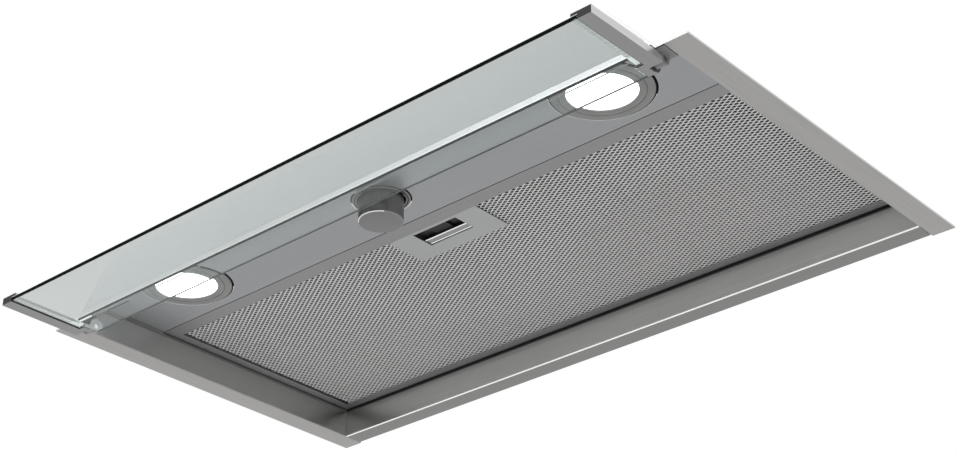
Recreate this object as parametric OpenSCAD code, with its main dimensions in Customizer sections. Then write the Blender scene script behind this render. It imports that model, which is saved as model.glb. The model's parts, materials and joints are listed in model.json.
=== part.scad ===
// Built-in range hood for a wall cabinet, with a folding glass visor.
// Working corner of every module: front edge, underside, middle of the width.
// seat() then moves each piece so that the origin lies on the cabinet seat.

/* [Hood] */
// Width over the side flanges
hood_w = 598; // [500:1:900]
// Depth from the front edge to the rear flange's edge
hood_d = 313; // [300:1:340]
// Height of the control panel and filter face above the underside
panel_rise = 24.5; // [22:0.5:28]
// Thickness of the bent steel sheet
sheet_t = 0.8; // [0.6:0.1:1.2]

/* [Flanges] */
// Width of each side flange
side_flange_w = 18.3; // [12:0.1:24]
// Width of the rear flange
rear_flange_w = 16.6; // [12:0.1:24]
// Thickness of the folded flanges
flange_t = 1.2; // [1:0.1:2]
// How far the side flanges run past the rear flange
flange_tail = 2; // [0.5:0.5:4]
// Radius of the bend between flange and wall
bend_r = 1; // [0.4:0.1:1.1]
// Height of the tray's side and rear walls above the underside
wall_top = 22.6; // [20:0.1:24]

/* [Canopy] */
// Height of the deck above the underside
deck_z = 60; // [56:1:70]
// Inward lean of the flanks for each millimetre of rise
flank_lean = 0.81; // [0.5:0.01:0.9]
// Backward lean of the front corners for each millimetre of rise
brow_lean = 1.2; // [1:0.01:1.3]
// Height at which the front bay starts to lean back
bay_z = 44; // [38:1:50]
// How far the front bay stands in from each tray wall at the underside
bay_step = 5.7; // [4:0.1:50]
// Height of the front edge above the flanges' underside
edge_rise = 2.6; // [0:0.1:3]
// Height of the front lip
lip_h = 4.8; // [3:0.2:6]
// Height and depth of the soft trim under the lip
trim_h = 1.2; // [0.8:0.1:2]

/* [Control panel] */
// Depth from the front edge to the rear edge of the panel
panel_back = 88; // [87:0.5:96]
// Height of the hem along the panel's rear edge
hem_h = 1.3; // [1:0.1:2]

/* [Lamps] */
// Distance of each lamp's centre from the hood's side
lamp_inset = 98; // [90:1:150]
// Distance of the lamp centres from the front edge
lamp_y = 45; // [42:0.5:52]
// Outer diameter of the lamp bezel
bezel_d = 68.6; // [60:0.2:72]
// Diameter of the diffuser that shows inside the bezel
lens_d = 47; // [40:0.5:50]
// Height by which the bezel stands out under the panel
bezel_h = 0.8; // [0.6:0.1:1.5]
// Height of the lamp body above the panel
lamp_body_h = 14; // [10:1:18]

/* [Knob] */
// Distance of the knob from the front edge
knob_y = 50.4; // [44:0.1:56]
// Diameter of the knob
knob_d = 32; // [26:0.5:34]
// Clear height between the underside and the knob's end
knob_end = 5.5; // [5:0.1:9]
// Outer diameter of the ring round the knob
knob_ring_d = 41.5; // [38:0.5:46]
// Dark gap between knob and ring
knob_gap = 1.2; // [0.6:0.1:2]
// Diameter of the switch shaft
switch_shaft_d = 6; // [5:0.5:8]

/* [Filter] */
// Thickness of the filter cassette
filter_t = 7; // [6:0.5:8]
// Width of the cassette's front band
band_front = 13; // [10:0.5:16]
// Width of the cassette's side and rear bands
band_side = 7.5; // [6:0.5:10]
// Thickness of the cassette's folded edge
fold_t = 0.8; // [0.6:0.1:1]
// Pitch of the openings in the face mesh
mesh_pitch = 25; // [18:0.5:32]
// Width of the strands between the openings
strand_w = 4; // [2.5:0.1:5]
// Thickness of the corrugated core layer
core_t = 0.8; // [0.5:0.1:1.2]
// Pitch of the core's corrugation
core_pitch = 12; // [8:0.5:20]
// Distance between the rear tabs
tab_span = 300; // [200:5:400]
// Width of a rear tab
tab_w = 20; // [14:1:30]

/* [Latch] */
// Width of the handle plate
handle_w = 84; // [70:1:100]
// Depth of the handle plate
handle_d = 37.5; // [34:0.5:44]
// Width of the finger opening
finger_w = 41; // [36:0.5:50]
// Depth of the finger opening
finger_d = 20.5; // [18:0.5:24]
// Depth of the pull bar
pull_d = 7.4; // [6:0.1:8]
// Travel of the latch
latch_travel = 5; // [3:0.5:5.5]
// Width of the latch tongue
tongue_w = 16; // [10:1:24]

/* [Visor] */
// How far the open visor reaches past the front edge
visor_reach = 63.7; // [50:0.1:68]
// Clear gap between the visor and each tray wall
visor_side_gap = 3.3; // [1.5:0.1:5]
// Width of a side bar
bar_w = 10.3; // [8:0.1:14]
// Height of a side bar
bar_h = 5.6; // [5:0.1:6]
// Height of the visor's underside below the hood's underside
visor_drop = 9.1; // [8.2:0.1:9.4]
// Thickness of the glass
glass_t = 3.2; // [3:0.1:3.2]
// Where the glass ends behind the front edge
glass_back = 11.9; // [9:0.1:12]
// Width of the black seal between glass and bar
seal_w = 0.5; // [0.3:0.1:1]

/* [Visor hinge] */
// Distance of the hinge axis behind the front edge
hinge_y = 10.3; // [10.1:0.1:10.6]
// Depth of the hinge axis below the underside
hinge_drop = 2.2; // [2:0.1:2.4]
// Diameter of the hinge pin
pin_d = 4; // [3:0.1:4.4]
// Radius of the visor's knuckle
knuckle_r = 6; // [5:0.1:6.3]
// Radius of the fixed lug
lug_r = 4.2; // [3.6:0.1:4.6]
// Width of the visor's knuckle
knuckle_w = 5.7; // [4:0.1:7]

/* [Blower] */
// Distance of the fan axis from the housing's left wall
fan_inset = 128; // [124:1:132]
// Diameter of the fan wheel
wheel_d = 116; // [100:1:117]
// Height of the fan wheel
wheel_h = 34; // [28:1:36]
// Number of blades
blades = 36; // [24:1:40]
// Running gap between the wheel and the scroll where it is narrowest
wheel_gap = 2.5; // [2:0.1:3]
// Growth of the scroll's radius over one turn
scroll_growth = 12; // [8:0.5:12]
// Wall of the scroll
scroll_wall = 1.5; // [1.2:0.1:1.7]
// Inner height of the scroll
scroll_h = 44.7; // [44:0.1:46]
// Diameter of the air inlet
inlet_d = 92; // [80:1:96]

/* [Motor] */
// Diameter of the motor body
motor_d = 62; // [50:1:64]
// Height of the motor body
motor_h = 30; // [26:1:32]
// Diameter of the motor shaft
shaft_d = 6; // [5:0.5:8]

/* [Housing] */
// Half width of the motor housing
housing_half = 190; // [188:1:196]
// Gap between the scroll and the housing's front wall
front_gap = 7; // [6:0.5:12]
// Gap between the scroll's cover and the top of the housing's roof
roof_gap = 3.5; // [3:0.1:6]
// Width of the housing's foot flanges
foot_w = 10; // [8:0.5:12]

/* [Outlet] */
// Place of the outlet across the hood
outlet_x = 100; // [96:1:104]
// Outer diameter of the outlet collar
collar_d = 119; // [100:0.5:120]
// Wall of the collar
collar_wall = 2; // [1.5:0.1:2.5]
// Height of the collar above the housing's roof
collar_h = 28; // [24:1:48]
// Diameter of the damper pin
damper_pin_d = 3; // [2.5:0.1:3.5]
// Thickness of a damper flap
flap_t = 1.2; // [0.8:0.1:1.6]

/* [Electrics] */
// Gap between the control box and the scroll
box_gap = 9; // [6:0.5:12]
// Length of the control box
box_l = 100; // [90:1:120]
// Height of the control box under its lid
box_h = 36; // [32:1:40]
// Wall of the control box
box_wall = 2; // [1.5:0.1:2.5]
// Diameter of the run capacitor
capacitor_d = 22; // [18:1:26]
// Diameter of the mains cable's bore in the gland
cable_bore_d = 8; // [6:0.5:9]

/* [Fixings] */
// Distance of the hanging holes from the deck's side edges
hang_inset = 26.2; // [20:0.1:40]
// Distance between the hanging holes along the hood
hang_span_y = 170; // [150:1:180]
// Diameter of a hanging hole
hang_hole_d = 5; // [4:0.5:6]
// Distance of the front clips from the front edge
clip_front = 80; // [60:1:100]
// Distance between the front and rear clips
clip_pitch = 140; // [120:1:160]
// Width of a clip
clip_w = 14; // [10:1:20]
// Diameter of a housing screw
screw_d = 3; // [2.5:0.1:4]

/* [Hidden] */
$fn = 64;
eps = 0.01;
fit = 0.3;
slip = 0.1;
run = 0.05;
half_w = hood_w / 2;
inner_half = half_w - side_flange_w;
outer_half = inner_half + sheet_t;
bay_half = inner_half - bay_step;
lip_base = edge_rise + trim_h;
lip_top = lip_base + lip_h;
lamp_x = half_w - lamp_inset;
hang_x = flank_out(deck_z) - hang_inset;
tray_back = hood_d - rear_flange_w;
shell_back = tray_back + sheet_t;
seat_y = hood_d - rear_flange_w / 2;
panel_top = panel_rise + sheet_t;
deck_top = deck_z + sheet_t;
flank_t = sheet_t * sqrt(1 + flank_lean * flank_lean);
brow_t = sheet_t * sqrt(1 + brow_lean * brow_lean);
brow_end = brow_lean * wall_top;
bay_depth = 120;
panel_half = flank_in(panel_top) - fit;
bay_panel_half = bay_in(panel_top) - fit;
hanger_y = seat_y - hang_span_y / 2 - 30;

lens_rest = 0.9;
lens_z = 0.1;
lens_t = 2;

hem_top = panel_top + hem_h;
filter_top = panel_rise + filter_t;
filter_front = panel_back + 0.7;
filter_back = tray_back - 1.8;
filter_half = flank_in(panel_rise) - 0.5;
filter_top_half = flank_in(filter_top) - 0.5;
mesh_front = filter_front + fold_t + slip;
mesh_back = filter_back - fold_t - slip;
core_half = filter_top_half - fold_t - slip;
swing_y = filter_back;
swing_z = panel_rise;
tab_end = shell_back + 3.8;
slot_top = swing_z + norm([tab_end - swing_y, tab_z() + 1 - swing_z]) + fit;
mesh_z = panel_rise + fold_t;
window_front = filter_front + band_front;
window_back = filter_back - band_side;
window_half = filter_half - band_side;
core_z = mesh_z + fold_t;
back_mesh_z = filter_top - 2 * fold_t;

handle_front = window_front - 0.7;
plate_t = fold_t - slip;
finger_front = handle_front + 3;
finger_back = finger_front + finger_d;
cup_half = finger_w / 2 + 1.5;
cup_front = finger_front - 0.6;
cup_back = finger_back + latch_travel + 1.5;
cup_top = filter_top - 1.4;
slider_z = panel_rise + plate_t + 0.2;
pull_back = finger_back - fit;
pull_front = pull_back - pull_d;
tongue_z = hem_top + fit;
tongue_t = 1;
tongue_tip = panel_back + fit;
leaf_t = 0.5;

bar_out = inner_half - visor_side_gap;
bar_in = bar_out - bar_w;
visor_z = -visor_drop;
bar_top = visor_z + bar_h;
glass_z = visor_z + fit;
glass_top = glass_z + glass_t;
glass_half = bar_in - seal_w;
bar_back = 4;
bar_nose_r = 5;
arm_front = -1;
arm_in = bar_in - knuckle_w;
lug_in = bar_in + 0.5;
lug_out = lug_in + 7.5;
block_in = lug_in + 3.2;
block_out = inner_half - slip;
block_back = hinge_y + lug_r + 1.5;
ledge_w = 5;

housing_back = shell_back - 1.2;
scroll_r = wheel_d / 2 + wheel_gap;
fan_x = fan_inset - housing_half;
fan_y = housing_back - sheet_t - slip - slip - scroll_wall - spiral(360);
housing_front = fan_y - spiral(180) - scroll_wall - front_gap;
fan_z = deck_top + scroll_wall + 2.2;
scroll_floor = deck_top;
scroll_roof = deck_top + scroll_wall + scroll_h;
cover_t = 1.5;
blade_in_r = wheel_d / 2 - 11;
rim_t = 1.5;
hub_r = 8;
motor_z = scroll_roof - motor_h;
cup_r = motor_d / 2 + 4;
tongue_a = 66;
housing_top = scroll_roof + cover_t + roof_gap;
collar_flange_r = collar_d / 2 + 5;
outlet_y = housing_back - collar_flange_r - 3.5;
chamber_x0 = outlet_x - collar_d / 2 - 4.5;
chamber_x1 = outlet_x + collar_d / 2 + 5.5;
chamber_y0 = outlet_y - collar_d / 2 - 5.5;

collar_top = housing_top + collar_h;
collar_bore = collar_d / 2 - collar_wall;
flap_z = housing_top + 14;
flap_r = collar_bore - 0.6;
knuckle_or = damper_pin_d / 2 + 1.3;

box_x0 = -housing_half + 4;
box_x1 = fan_x - spiral(270) - scroll_wall - box_gap;
box_y0 = housing_front + 4;
box_y1 = box_y0 + box_l;
box_top = deck_top + box_h;
board_y0 = box_y0 + 50;
board_y1 = box_y1 - box_wall - 2;
gland_y = box_y0 + 35;
gland_z = box_top - 8.8;

// Half width of the canopy's flanks at height z, outside and inside
function flank_out(z) = outer_half - flank_lean * (z - wall_top);
function flank_in(z) = flank_out(z) - flank_t;
// Half width of the front bay at height z, outside and inside
function bay_out(z) = bay_half - flank_lean * z;
function bay_in(z) = bay_out(z) - flank_t;
// Radius of the scroll after a turn of a degrees
function spiral(a) = scroll_r + scroll_growth * a / 360;

// Moves a piece from the working corner to the origin on the cabinet seat
module seat() {
  translate([0, -seat_y, -flange_t]) children();
}

// One side of a mirrored pair: +1 is the right, -1 the left
module side(s) {
  if (s > 0) {
    children();
  } else {
    mirror([1, 0, 0]) children();
  }
}

// Box given by its two corners
module box(a, b) {
  translate(a) cube(b - a);
}

// Bar along X with an outline drawn in Y and Z
module along_x(x0, x1) {
  translate([x0, 0, 0]) rotate([90, 0, 90]) linear_extrude(x1 - x0) children();
}

// Bent sheet: a flange and a wall that meet in a rounded bend at the origin
module bent_profile(flange_w, wall_h) {
  difference() {
    union() {
      square([flange_w, flange_t]);
      square([sheet_t, wall_h]);
    }
    difference() {
      square(bend_r);
      translate([bend_r, bend_r]) circle(bend_r);
    }
  }
}

// Side flange with its tray wall; the wall leans back at the front corner
module side_rail(s) {
  side(s) difference() {
    translate([inner_half, hood_d + flange_tail, 0]) rotate([90, 0, 0])
      linear_extrude(hood_d + flange_tail) bent_profile(side_flange_w, wall_top);
    along_x(inner_half - 1, half_w + 1)
      polygon([
        [-1, flange_t], [brow_lean * flange_t, flange_t],
        [brow_end, wall_top], [brow_end, wall_top + 1], [-1, wall_top + 1],
      ]);
    box([inner_half - 1, shell_back, flange_t], [half_w + 1, hood_d + 3, wall_top + 1]);
  }
}

module side_rail_left() {
  color("silver") seat() side_rail(-1);
}

module side_rail_right() {
  color("silver") seat() side_rail(1);
}

module rear_rail() {
  color("silver") seat()
    translate([-inner_half, tray_back, 0]) rotate([90, 0, 90])
      linear_extrude(2 * inner_half) bent_profile(rear_flange_w, wall_top);
}

// Bright lip that faces forward under the canopy's front bay
module front_lip() {
  color("gainsboro") seat() rotate([90, 0, 0]) translate([0, 0, -sheet_t])
    linear_extrude(sheet_t)
      polygon([
        [-bay_out(lip_base), lip_base], [bay_out(lip_base), lip_base],
        [bay_out(lip_top), lip_top], [-bay_out(lip_top), lip_top],
      ]);
}

module front_trim() {
  color("black") seat()
    box([-bay_out(lip_base), 0, edge_rise], [bay_out(lip_base), trim_h, lip_base]);
}

// Level slice of a hull, from half width w, y0 to y1, at height z
module slice(w, y0, y1, z) {
  box([-w, y0, z - eps], [w, y1, z]);
}

// Outside of the canopy: leaning front corners, flanks and the front bay
module canopy_outside() {
  hull() {
    slice(inner_half - slip, brow_lean * flange_t, tray_back, flange_t + eps);
    slice(inner_half - slip, brow_end, tray_back, wall_top);
  }
  hull() {
    slice(outer_half, brow_end, shell_back, wall_top + eps);
    slice(flank_out(deck_top), brow_lean * deck_top, shell_back, deck_top);
  }
  hull() {
    slice(bay_out(lip_top), 0, bay_depth, lip_top + eps);
    slice(bay_out(bay_z), 0, bay_depth, bay_z);
    slice(bay_out(deck_top), brow_lean * (deck_top - bay_z), bay_depth, deck_top);
  }
}

// Room inside the canopy, one sheet in from the outside
module canopy_inside() {
  low = flange_t - 1;
  hull() {
    slice(half_w, brow_lean * low + brow_t, shell_back + 1, low);
    slice(half_w, brow_end + brow_t, shell_back + 1, wall_top + eps / 2);
  }
  hull() {
    slice(flank_in(wall_top), brow_end + brow_t, tray_back, wall_top + eps / 2);
    slice(flank_in(deck_z), brow_lean * deck_z + brow_t, tray_back, deck_z);
  }
  hull() {
    slice(bay_in(lip_top - 1), sheet_t, bay_depth, lip_top - 1);
    slice(bay_in(bay_z), sheet_t, bay_depth, bay_z);
    slice(bay_in(deck_z), brow_lean * (deck_z - bay_z) + brow_t, bay_depth, deck_z);
  }
}

// Places of the screws that hold the housing's foot
module foot_screw_places() {
  for (x = [-1, 1], y = [housing_front + 24, housing_back - 26])
    translate([x * (housing_half + foot_w / 2), y, 0]) children();
  for (x = [fan_x - 48, fan_x + 82, outlet_x + 20])
    translate([x, housing_front - foot_w / 2, 0]) children();
}

// Room behind the leaning front corners, from the sheet's inner face back
module behind_brow() {
  along_x(-half_w - 1, half_w + 1)
    polygon([
      [brow_t, 0], [brow_t + brow_lean * deck_top, deck_top],
      [hood_d, deck_top], [hood_d, 0],
    ]);
}

// Front of the canopy: the bay over the control panel and the leaning corners
module canopy_front() {
  color("lightgray") seat() difference() {
    canopy_outside();
    canopy_inside();
    behind_brow();
    box([-half_w, -1, deck_z], [half_w, hood_d, deck_top + 1]);
  }
}

// Leaning flank: one sheet between the tray's wall and the deck
module canopy_flank(s) {
  side(s) difference() {
    translate([0, tray_back, 0]) rotate([90, 0, 0]) linear_extrude(tray_back)
      polygon([
        [flank_in(wall_top), wall_top], [flank_out(wall_top), wall_top],
        [flank_out(deck_z), deck_z], [flank_in(deck_z), deck_z],
      ]);
    along_x(0, half_w)
      polygon([
        [-1, 0], [brow_t, 0], [brow_t + brow_lean * deck_top, deck_top], [-1, deck_top],
      ]);
  }
}

module canopy_flank_left() {
  color("lightgray") seat() canopy_flank(-1);
}

module canopy_flank_right() {
  color("lightgray") seat() canopy_flank(1);
}

// Rear wall of the canopy with the two slots for the filter's tabs
module canopy_rear() {
  color("lightgray") seat() difference() {
    translate([0, shell_back, 0]) rotate([90, 0, 0]) linear_extrude(sheet_t)
      polygon([
        [-flank_out(wall_top), wall_top], [flank_out(wall_top), wall_top],
        [flank_out(deck_z), deck_z], [-flank_out(deck_z), deck_z],
      ]);
    for (x = [-1, 1])
      box(
        [x * tab_span / 2 - tab_w / 2 - fit, tray_back - 1, tab_z() - fit],
        [x * tab_span / 2 + tab_w / 2 + fit, shell_back + 1, slot_top]
      );
  }
}

// Deck with the air inlet, the hanging holes and the housing's screw holes
module canopy_deck() {
  bay_edge = bay_out(deck_z);
  flank_edge = flank_out(deck_z);
  bay_y = brow_lean * (deck_z - bay_z);
  corner_y = brow_lean * deck_z;
  color("lightgray") seat() difference() {
    translate([0, 0, deck_z]) linear_extrude(sheet_t) polygon([
      [-bay_edge, bay_y], [bay_edge, bay_y], [bay_edge, corner_y],
      [flank_edge, corner_y], [flank_edge, shell_back], [-flank_edge, shell_back],
      [-flank_edge, corner_y], [-bay_edge, corner_y],
    ]);
    translate([fan_x, fan_y, deck_z - 1]) cylinder(d = inlet_d, h = 3, $fn = 96);
    for (x = [-1, 1], y = [-1, 1])
      translate([x * hang_x, hanger_y + y * hang_span_y / 2, deck_z - 1])
        cylinder(d = hang_hole_d, h = 3);
    foot_screw_places() translate([0, 0, deck_z - 1])
      cylinder(d = screw_d + 2 * slip, h = 3, $fn = 24);
  }
}

// Outline of the control panel, narrower where it runs into the front bay
module panel_outline() {
  polygon([
    [-bay_panel_half, sheet_t + fit], [bay_panel_half, sheet_t + fit],
    [bay_panel_half, brow_lean * panel_top + brow_t + fit],
    [panel_half, brow_lean * panel_top + brow_t + fit],
    [panel_half, panel_back], [-panel_half, panel_back],
    [-panel_half, brow_lean * panel_top + brow_t + fit],
    [-bay_panel_half, brow_lean * panel_top + brow_t + fit],
  ]);
}

module control_panel() {
  color("darkgray") seat() difference() {
    union() {
      translate([0, 0, panel_rise]) linear_extrude(sheet_t) panel_outline();
      box(
        [-flank_in(hem_top) + fit, panel_back - sheet_t, panel_top - eps],
        [flank_in(hem_top) - fit, panel_back, hem_top]
      );
    }
    for (x = [-1, 1])
      translate([x * lamp_x, lamp_y, panel_rise - 1])
        cylinder(r = bezel_d / 2 - 1.5, h = 3, $fn = 96);
    translate([0, knob_y, panel_rise - 1])
      cylinder(r = knob_d / 2 + knob_gap + 0.4, h = 3, $fn = 96);
  }
}

// Flat ring round a lamp: a shallow groove half way in, a seat for the
// diffuser, and a neck that stands in the panel's hole
module lamp_bezel(s) {
  rim_r = bezel_d / 2;
  neck_r = rim_r - 1.5 - fit / 2;
  lens_r = lens_d / 2;
  groove_r = (rim_r + lens_r) / 2 - 0.3;
  seat_r = lens_r + lens_rest + slip;
  translate([s * lamp_x, lamp_y, panel_rise]) rotate_extrude($fn = 96)
    polygon([
      [rim_r, 0], [rim_r, 0.4 - bezel_h], [rim_r - 0.4, -bezel_h],
      [groove_r + 0.4, -bezel_h], [groove_r, 0.4 - bezel_h], [groove_r - 0.4, -bezel_h],
      [lens_r + 0.3, -bezel_h - 0.2], [lens_r, 0.1 - bezel_h], [lens_r, lens_z],
      [seat_r, lens_z], [seat_r, lens_z + lens_t], [seat_r + 1, lens_z + lens_t],
      [seat_r + 1, lens_z + 1], [neck_r - 0.8, lens_z + 1], [neck_r - 0.8, 3],
      [neck_r, 3], [neck_r, 0],
    ]);
}

module lamp_bezel_left() {
  color("gray") seat() lamp_bezel(-1);
}

module lamp_bezel_right() {
  color("gray") seat() lamp_bezel(1);
}

// Opal diffuser with a slightly domed face
module lamp_lens(s) {
  face_r = lens_d / 2 - slip;
  lens_r = lens_d / 2 + lens_rest;
  translate([s * lamp_x, lamp_y, panel_rise + lens_z]) rotate_extrude($fn = 96)
    polygon([
      [0, -0.3], [face_r * 0.6, -0.2], [face_r, 0], [lens_r, 0],
      [lens_r, lens_t], [0, lens_t],
    ]);
}

module lamp_lens_left() {
  color("white") seat() lamp_lens(-1);
}

module lamp_lens_right() {
  color("white") seat() lamp_lens(1);
}

// Body over a lamp: a cup that clamps the bezel, with cooling ribs on top
module lamp_body(s) {
  body_r = bezel_d / 2 + 1;
  translate([s * lamp_x, lamp_y, panel_top]) {
    difference() {
      union() {
        cylinder(r = body_r, h = 1.2, $fn = 96);
        cylinder(r = body_r - 1, h = lamp_body_h - 3, $fn = 96);
        for (x = [-20:5:20])
          box([x - 0.75, -18, lamp_body_h - 3 - eps], [x + 0.75, 18, lamp_body_h]);
      }
      translate([0, 0, -1]) cylinder(r = bezel_d / 2 - 1.5, h = 1 + 4, $fn = 96);
      cylinder(r = lens_d / 2 + 2.4, h = 7, $fn = 96);
    }
  }
}

module lamp_body_left() {
  color("dimgray") seat() lamp_body(-1);
}

module lamp_body_right() {
  color("dimgray") seat() lamp_body(1);
}

// Round board that carries the light chips, against the body's ceiling
module led_board(s) {
  translate([s * lamp_x, lamp_y, panel_top + 7 - 1.6]) {
    cylinder(r = lens_d / 2 + 2, h = 1.6, $fn = 64);
    for (a = [0:60:300])
      rotate([0, 0, a]) translate([13, 0, -0.7])
        translate([-1.5, -1.5, 0]) cube([3, 3, 0.7 + eps]);
  }
}

module led_board_left() {
  color("beige") seat() led_board(-1);
}

module led_board_right() {
  color("beige") seat() led_board(1);
}

// Knob turned from bar: bevelled end, hollow back and a boss for the shaft
module knob() {
  r = knob_d / 2;
  len = panel_rise - knob_end;
  color("gray") seat() translate([0, knob_y, knob_end]) difference() {
    rotate_extrude($fn = 96)
      polygon([[0, 0], [r - 0.6, 0], [r, 0.6], [r, len], [0, len]]);
    difference() {
      translate([0, 0, 4]) cylinder(r = r - 2, h = len, $fn = 64);
      cylinder(r = switch_shaft_d / 2 + 2.5, h = len - 1);
    }
    translate([0, 0, 5]) cylinder(d = switch_shaft_d, h = len, $fn = 48);
  }
}

module knob_ring() {
  color("darkgray") seat() translate([0, knob_y, panel_rise]) rotate_extrude($fn = 96)
    translate([knob_d / 2 + knob_gap, -0.8])
      polygon([
        [0, 0.3], [0.3, 0], [(knob_ring_d - knob_d) / 2 - knob_gap - 0.3, 0],
        [(knob_ring_d - knob_d) / 2 - knob_gap, 0.3],
        [(knob_ring_d - knob_d) / 2 - knob_gap, 0.8], [0, 0.8],
      ]);
}

module switch_shaft() {
  color("gold") seat() translate([0, knob_y, knob_end + 5])
    cylinder(d = switch_shaft_d, h = switch_z() + 8 - knob_end - 5, $fn = 48);
}

// Height of the rotary switch's underside
function switch_z() = panel_top + 3.2;

module rotary_switch() {
  color("ivory") seat() translate([0, knob_y, switch_z()]) difference() {
    union() {
      box([-14, -14, 0], [14, 14, 15]);
      for (x = [-9:6:9])
        box([x - 1, -8, 15 - eps], [x + 1, 8, 19]);
    }
    translate([0, 0, -1])
      cylinder(d = switch_shaft_d + 2 * run, h = 9 + fit, $fn = 48);
  }
}

// Bridge over the knob hole that carries the rotary switch
module switch_bracket() {
  reach = knob_d / 2 + knob_gap + 8;
  color("silver") seat() translate([0, knob_y, panel_top]) difference() {
    union() {
      box([-reach, -10, switch_z() - panel_top - 1.2], [reach, 10, switch_z() - panel_top]);
      for (s = [-1, 1])
        side(s) {
          box([reach - 1.2, -10, 0], [reach, 10, switch_z() - panel_top]);
          box([reach - 1.2, -10, 0], [reach + 8, 10, 1.2]);
        }
    }
    translate([0, 0, -1]) cylinder(r = switch_shaft_d / 2 + 1, h = 9);
  }
}

// Outline of the filter cassette across the hood, bevelled like the flanks
module cassette(inset) {
  translate([0, filter_back - inset, 0]) rotate([90, 0, 0])
    linear_extrude(filter_back - filter_front - 2 * inset)
      polygon([
        [-filter_half + inset, panel_rise], [filter_half - inset, panel_rise],
        [filter_top_half - inset, filter_top], [-filter_top_half + inset, filter_top],
      ]);
}

module filter_frame() {
  color("silver") seat() difference() {
    cassette(0);
    intersection() {
      cassette(fold_t);
      box([-half_w, 0, mesh_z], [half_w, hood_d, filter_top - fold_t]);
    }
    box([-window_half, window_front, panel_rise - 1], [window_half, window_back, mesh_z + 1]);
    box(
      [-window_half, window_front, filter_top - fold_t - 1],
      [window_half, window_back, filter_top + 1]
    );
    box(
      [-tongue_w / 2 - fit, filter_front - 1, tongue_z - slip],
      [tongue_w / 2 + fit, mesh_front, tongue_z + tongue_t + slip]
    );
    box(
      [-cup_half, cup_front, mesh_z - 1 + 0.2],
      [cup_half, window_front + 1, filter_top - fold_t]
    );
  }
}

// Half width of the handle's cut-out in the mesh layers
cut_half = finger_w / 2 + 2.3 + slip;

// Expanded sheet: rows of lozenge openings, every second row shifted
module mesh_sheet(z) {
  rows = floor((window_back - window_front - 6) / (mesh_pitch / 2));
  cols = floor((window_half - 4) / mesh_pitch);
  half_x = (mesh_pitch - strand_w) / 2;
  half_y = (mesh_pitch - strand_w) / 4;
  translate([0, 0, z]) linear_extrude(fold_t) difference() {
    translate([-core_half, mesh_front]) square([2 * core_half, mesh_back - mesh_front]);
    translate([-cut_half, mesh_front - 1])
      square([2 * cut_half, cup_back + fold_t + slip - mesh_front + 1]);
    for (j = [0:2:rows - 1], i = [-cols:cols])
      mesh_opening(i * mesh_pitch, j, half_x, half_y);
    for (j = [1:2:rows - 1], i = [-cols:cols - 1])
      mesh_opening((i + 0.5) * mesh_pitch, j, half_x, half_y);
  }
}

// One lozenge, left out where the handle covers the mesh
module mesh_opening(x, j, half_x, half_y) {
  y = window_front + 3 + (j + 1) * mesh_pitch / 2;
  clear = abs(x) > handle_w / 2 + half_x || y > handle_front + handle_d + half_y;
  if (clear)
    translate([x, y])
      polygon([[half_x, 0], [0, half_y], [-half_x, 0], [0, -half_y]]);
}

module filter_face_mesh() {
  color("lightgray") seat() mesh_sheet(mesh_z);
}

// Corrugated mesh layer between the two sheets
module filter_core() {
  rise = back_mesh_z - core_z - core_t;
  folds = 2 * round((mesh_back - mesh_front) / core_pitch);
  step = (mesh_back - mesh_front) / folds;
  color("darkgray") seat() difference() {
    along_x(-core_half, core_half) polygon(concat(
      [for (i = [0:folds]) [mesh_front + i * step, core_z + rise * (i % 2)]],
      [for (i = [folds:-1:0]) [mesh_front + i * step, core_z + core_t + rise * (i % 2)]]
    ));
    box(
      [-cut_half, mesh_front - 1, core_z - 1],
      [cut_half, cup_back + fold_t + slip, back_mesh_z + 1]
    );
  }
}

module filter_back_mesh() {
  color("lightgray") seat() difference() {
    box([-core_half, mesh_front, back_mesh_z], [core_half, mesh_back, filter_top - fold_t]);
    for (x = [-238:34:238], y = [window_front + 17:34:window_back - 12])
      if (abs(x) > handle_w / 2 + 14 || y > handle_front + handle_d + 16)
        translate([x, y, back_mesh_z - 1]) box([-14, -14, 0], [14, 14, 3]);
    box([-cut_half, mesh_front - 1, back_mesh_z - 1], [cut_half, cup_back + 1, filter_top]);
  }
}

// Height of the underside of the rear tabs
function tab_z() = panel_rise + 1.7;

// Tabs that hook into the slots in the canopy's rear wall
module filter_tabs() {
  color("silver") seat() for (x = [-1, 1])
    translate([x * tab_span / 2, 0, 0]) {
      box([-tab_w / 2, filter_back, tab_z()], [tab_w / 2, tab_end, tab_z() + 1]);
      box([-tab_w / 2, filter_back, tab_z()], [tab_w / 2, filter_back + 0.6, tab_z() + 4]);
    }
}

// Handle plate with the finger opening and the cup behind it
module handle_plate() {
  wall = fold_t;
  color("darkgray") seat() difference() {
    union() {
      box(
        [-handle_w / 2, handle_front + 0.7, panel_rise],
        [handle_w / 2, handle_front + handle_d, panel_rise + plate_t]
      );
      box(
        [-cup_half - wall, cup_front + 1.5, panel_rise + plate_t - eps],
        [cup_half + wall, cup_back + wall, cup_top]
      );
    }
    box([-finger_w / 2, finger_front, panel_rise - 1], [finger_w / 2, finger_back, mesh_z]);
    box(
      [-cup_half, cup_front + 1.5 + wall, panel_rise + plate_t],
      [cup_half, cup_back, cup_top - wall]
    );
    box(
      [-tongue_w / 2 - fit, cup_front, tongue_z - slip],
      [tongue_w / 2 + fit, cup_front + 4, tongue_z + tongue_t + slip]
    );
  }
}

// Pull bar with two rolled edges, and the tongue that it draws back
module latch_slider() {
  color("silver") seat() {
    box(
      [-finger_w / 2 + fit, pull_front, slider_z],
      [finger_w / 2 - fit, pull_back, slider_z + 0.8]
    );
    for (y = [pull_front, pull_back - 0.8])
      box([-finger_w / 2 + fit, y, slider_z], [finger_w / 2 - fit, y + 0.8, tongue_z + eps]);
    box([-tongue_w / 2, tongue_tip, tongue_z], [tongue_w / 2, pull_back, tongue_z + tongue_t]);
  }
}

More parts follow.
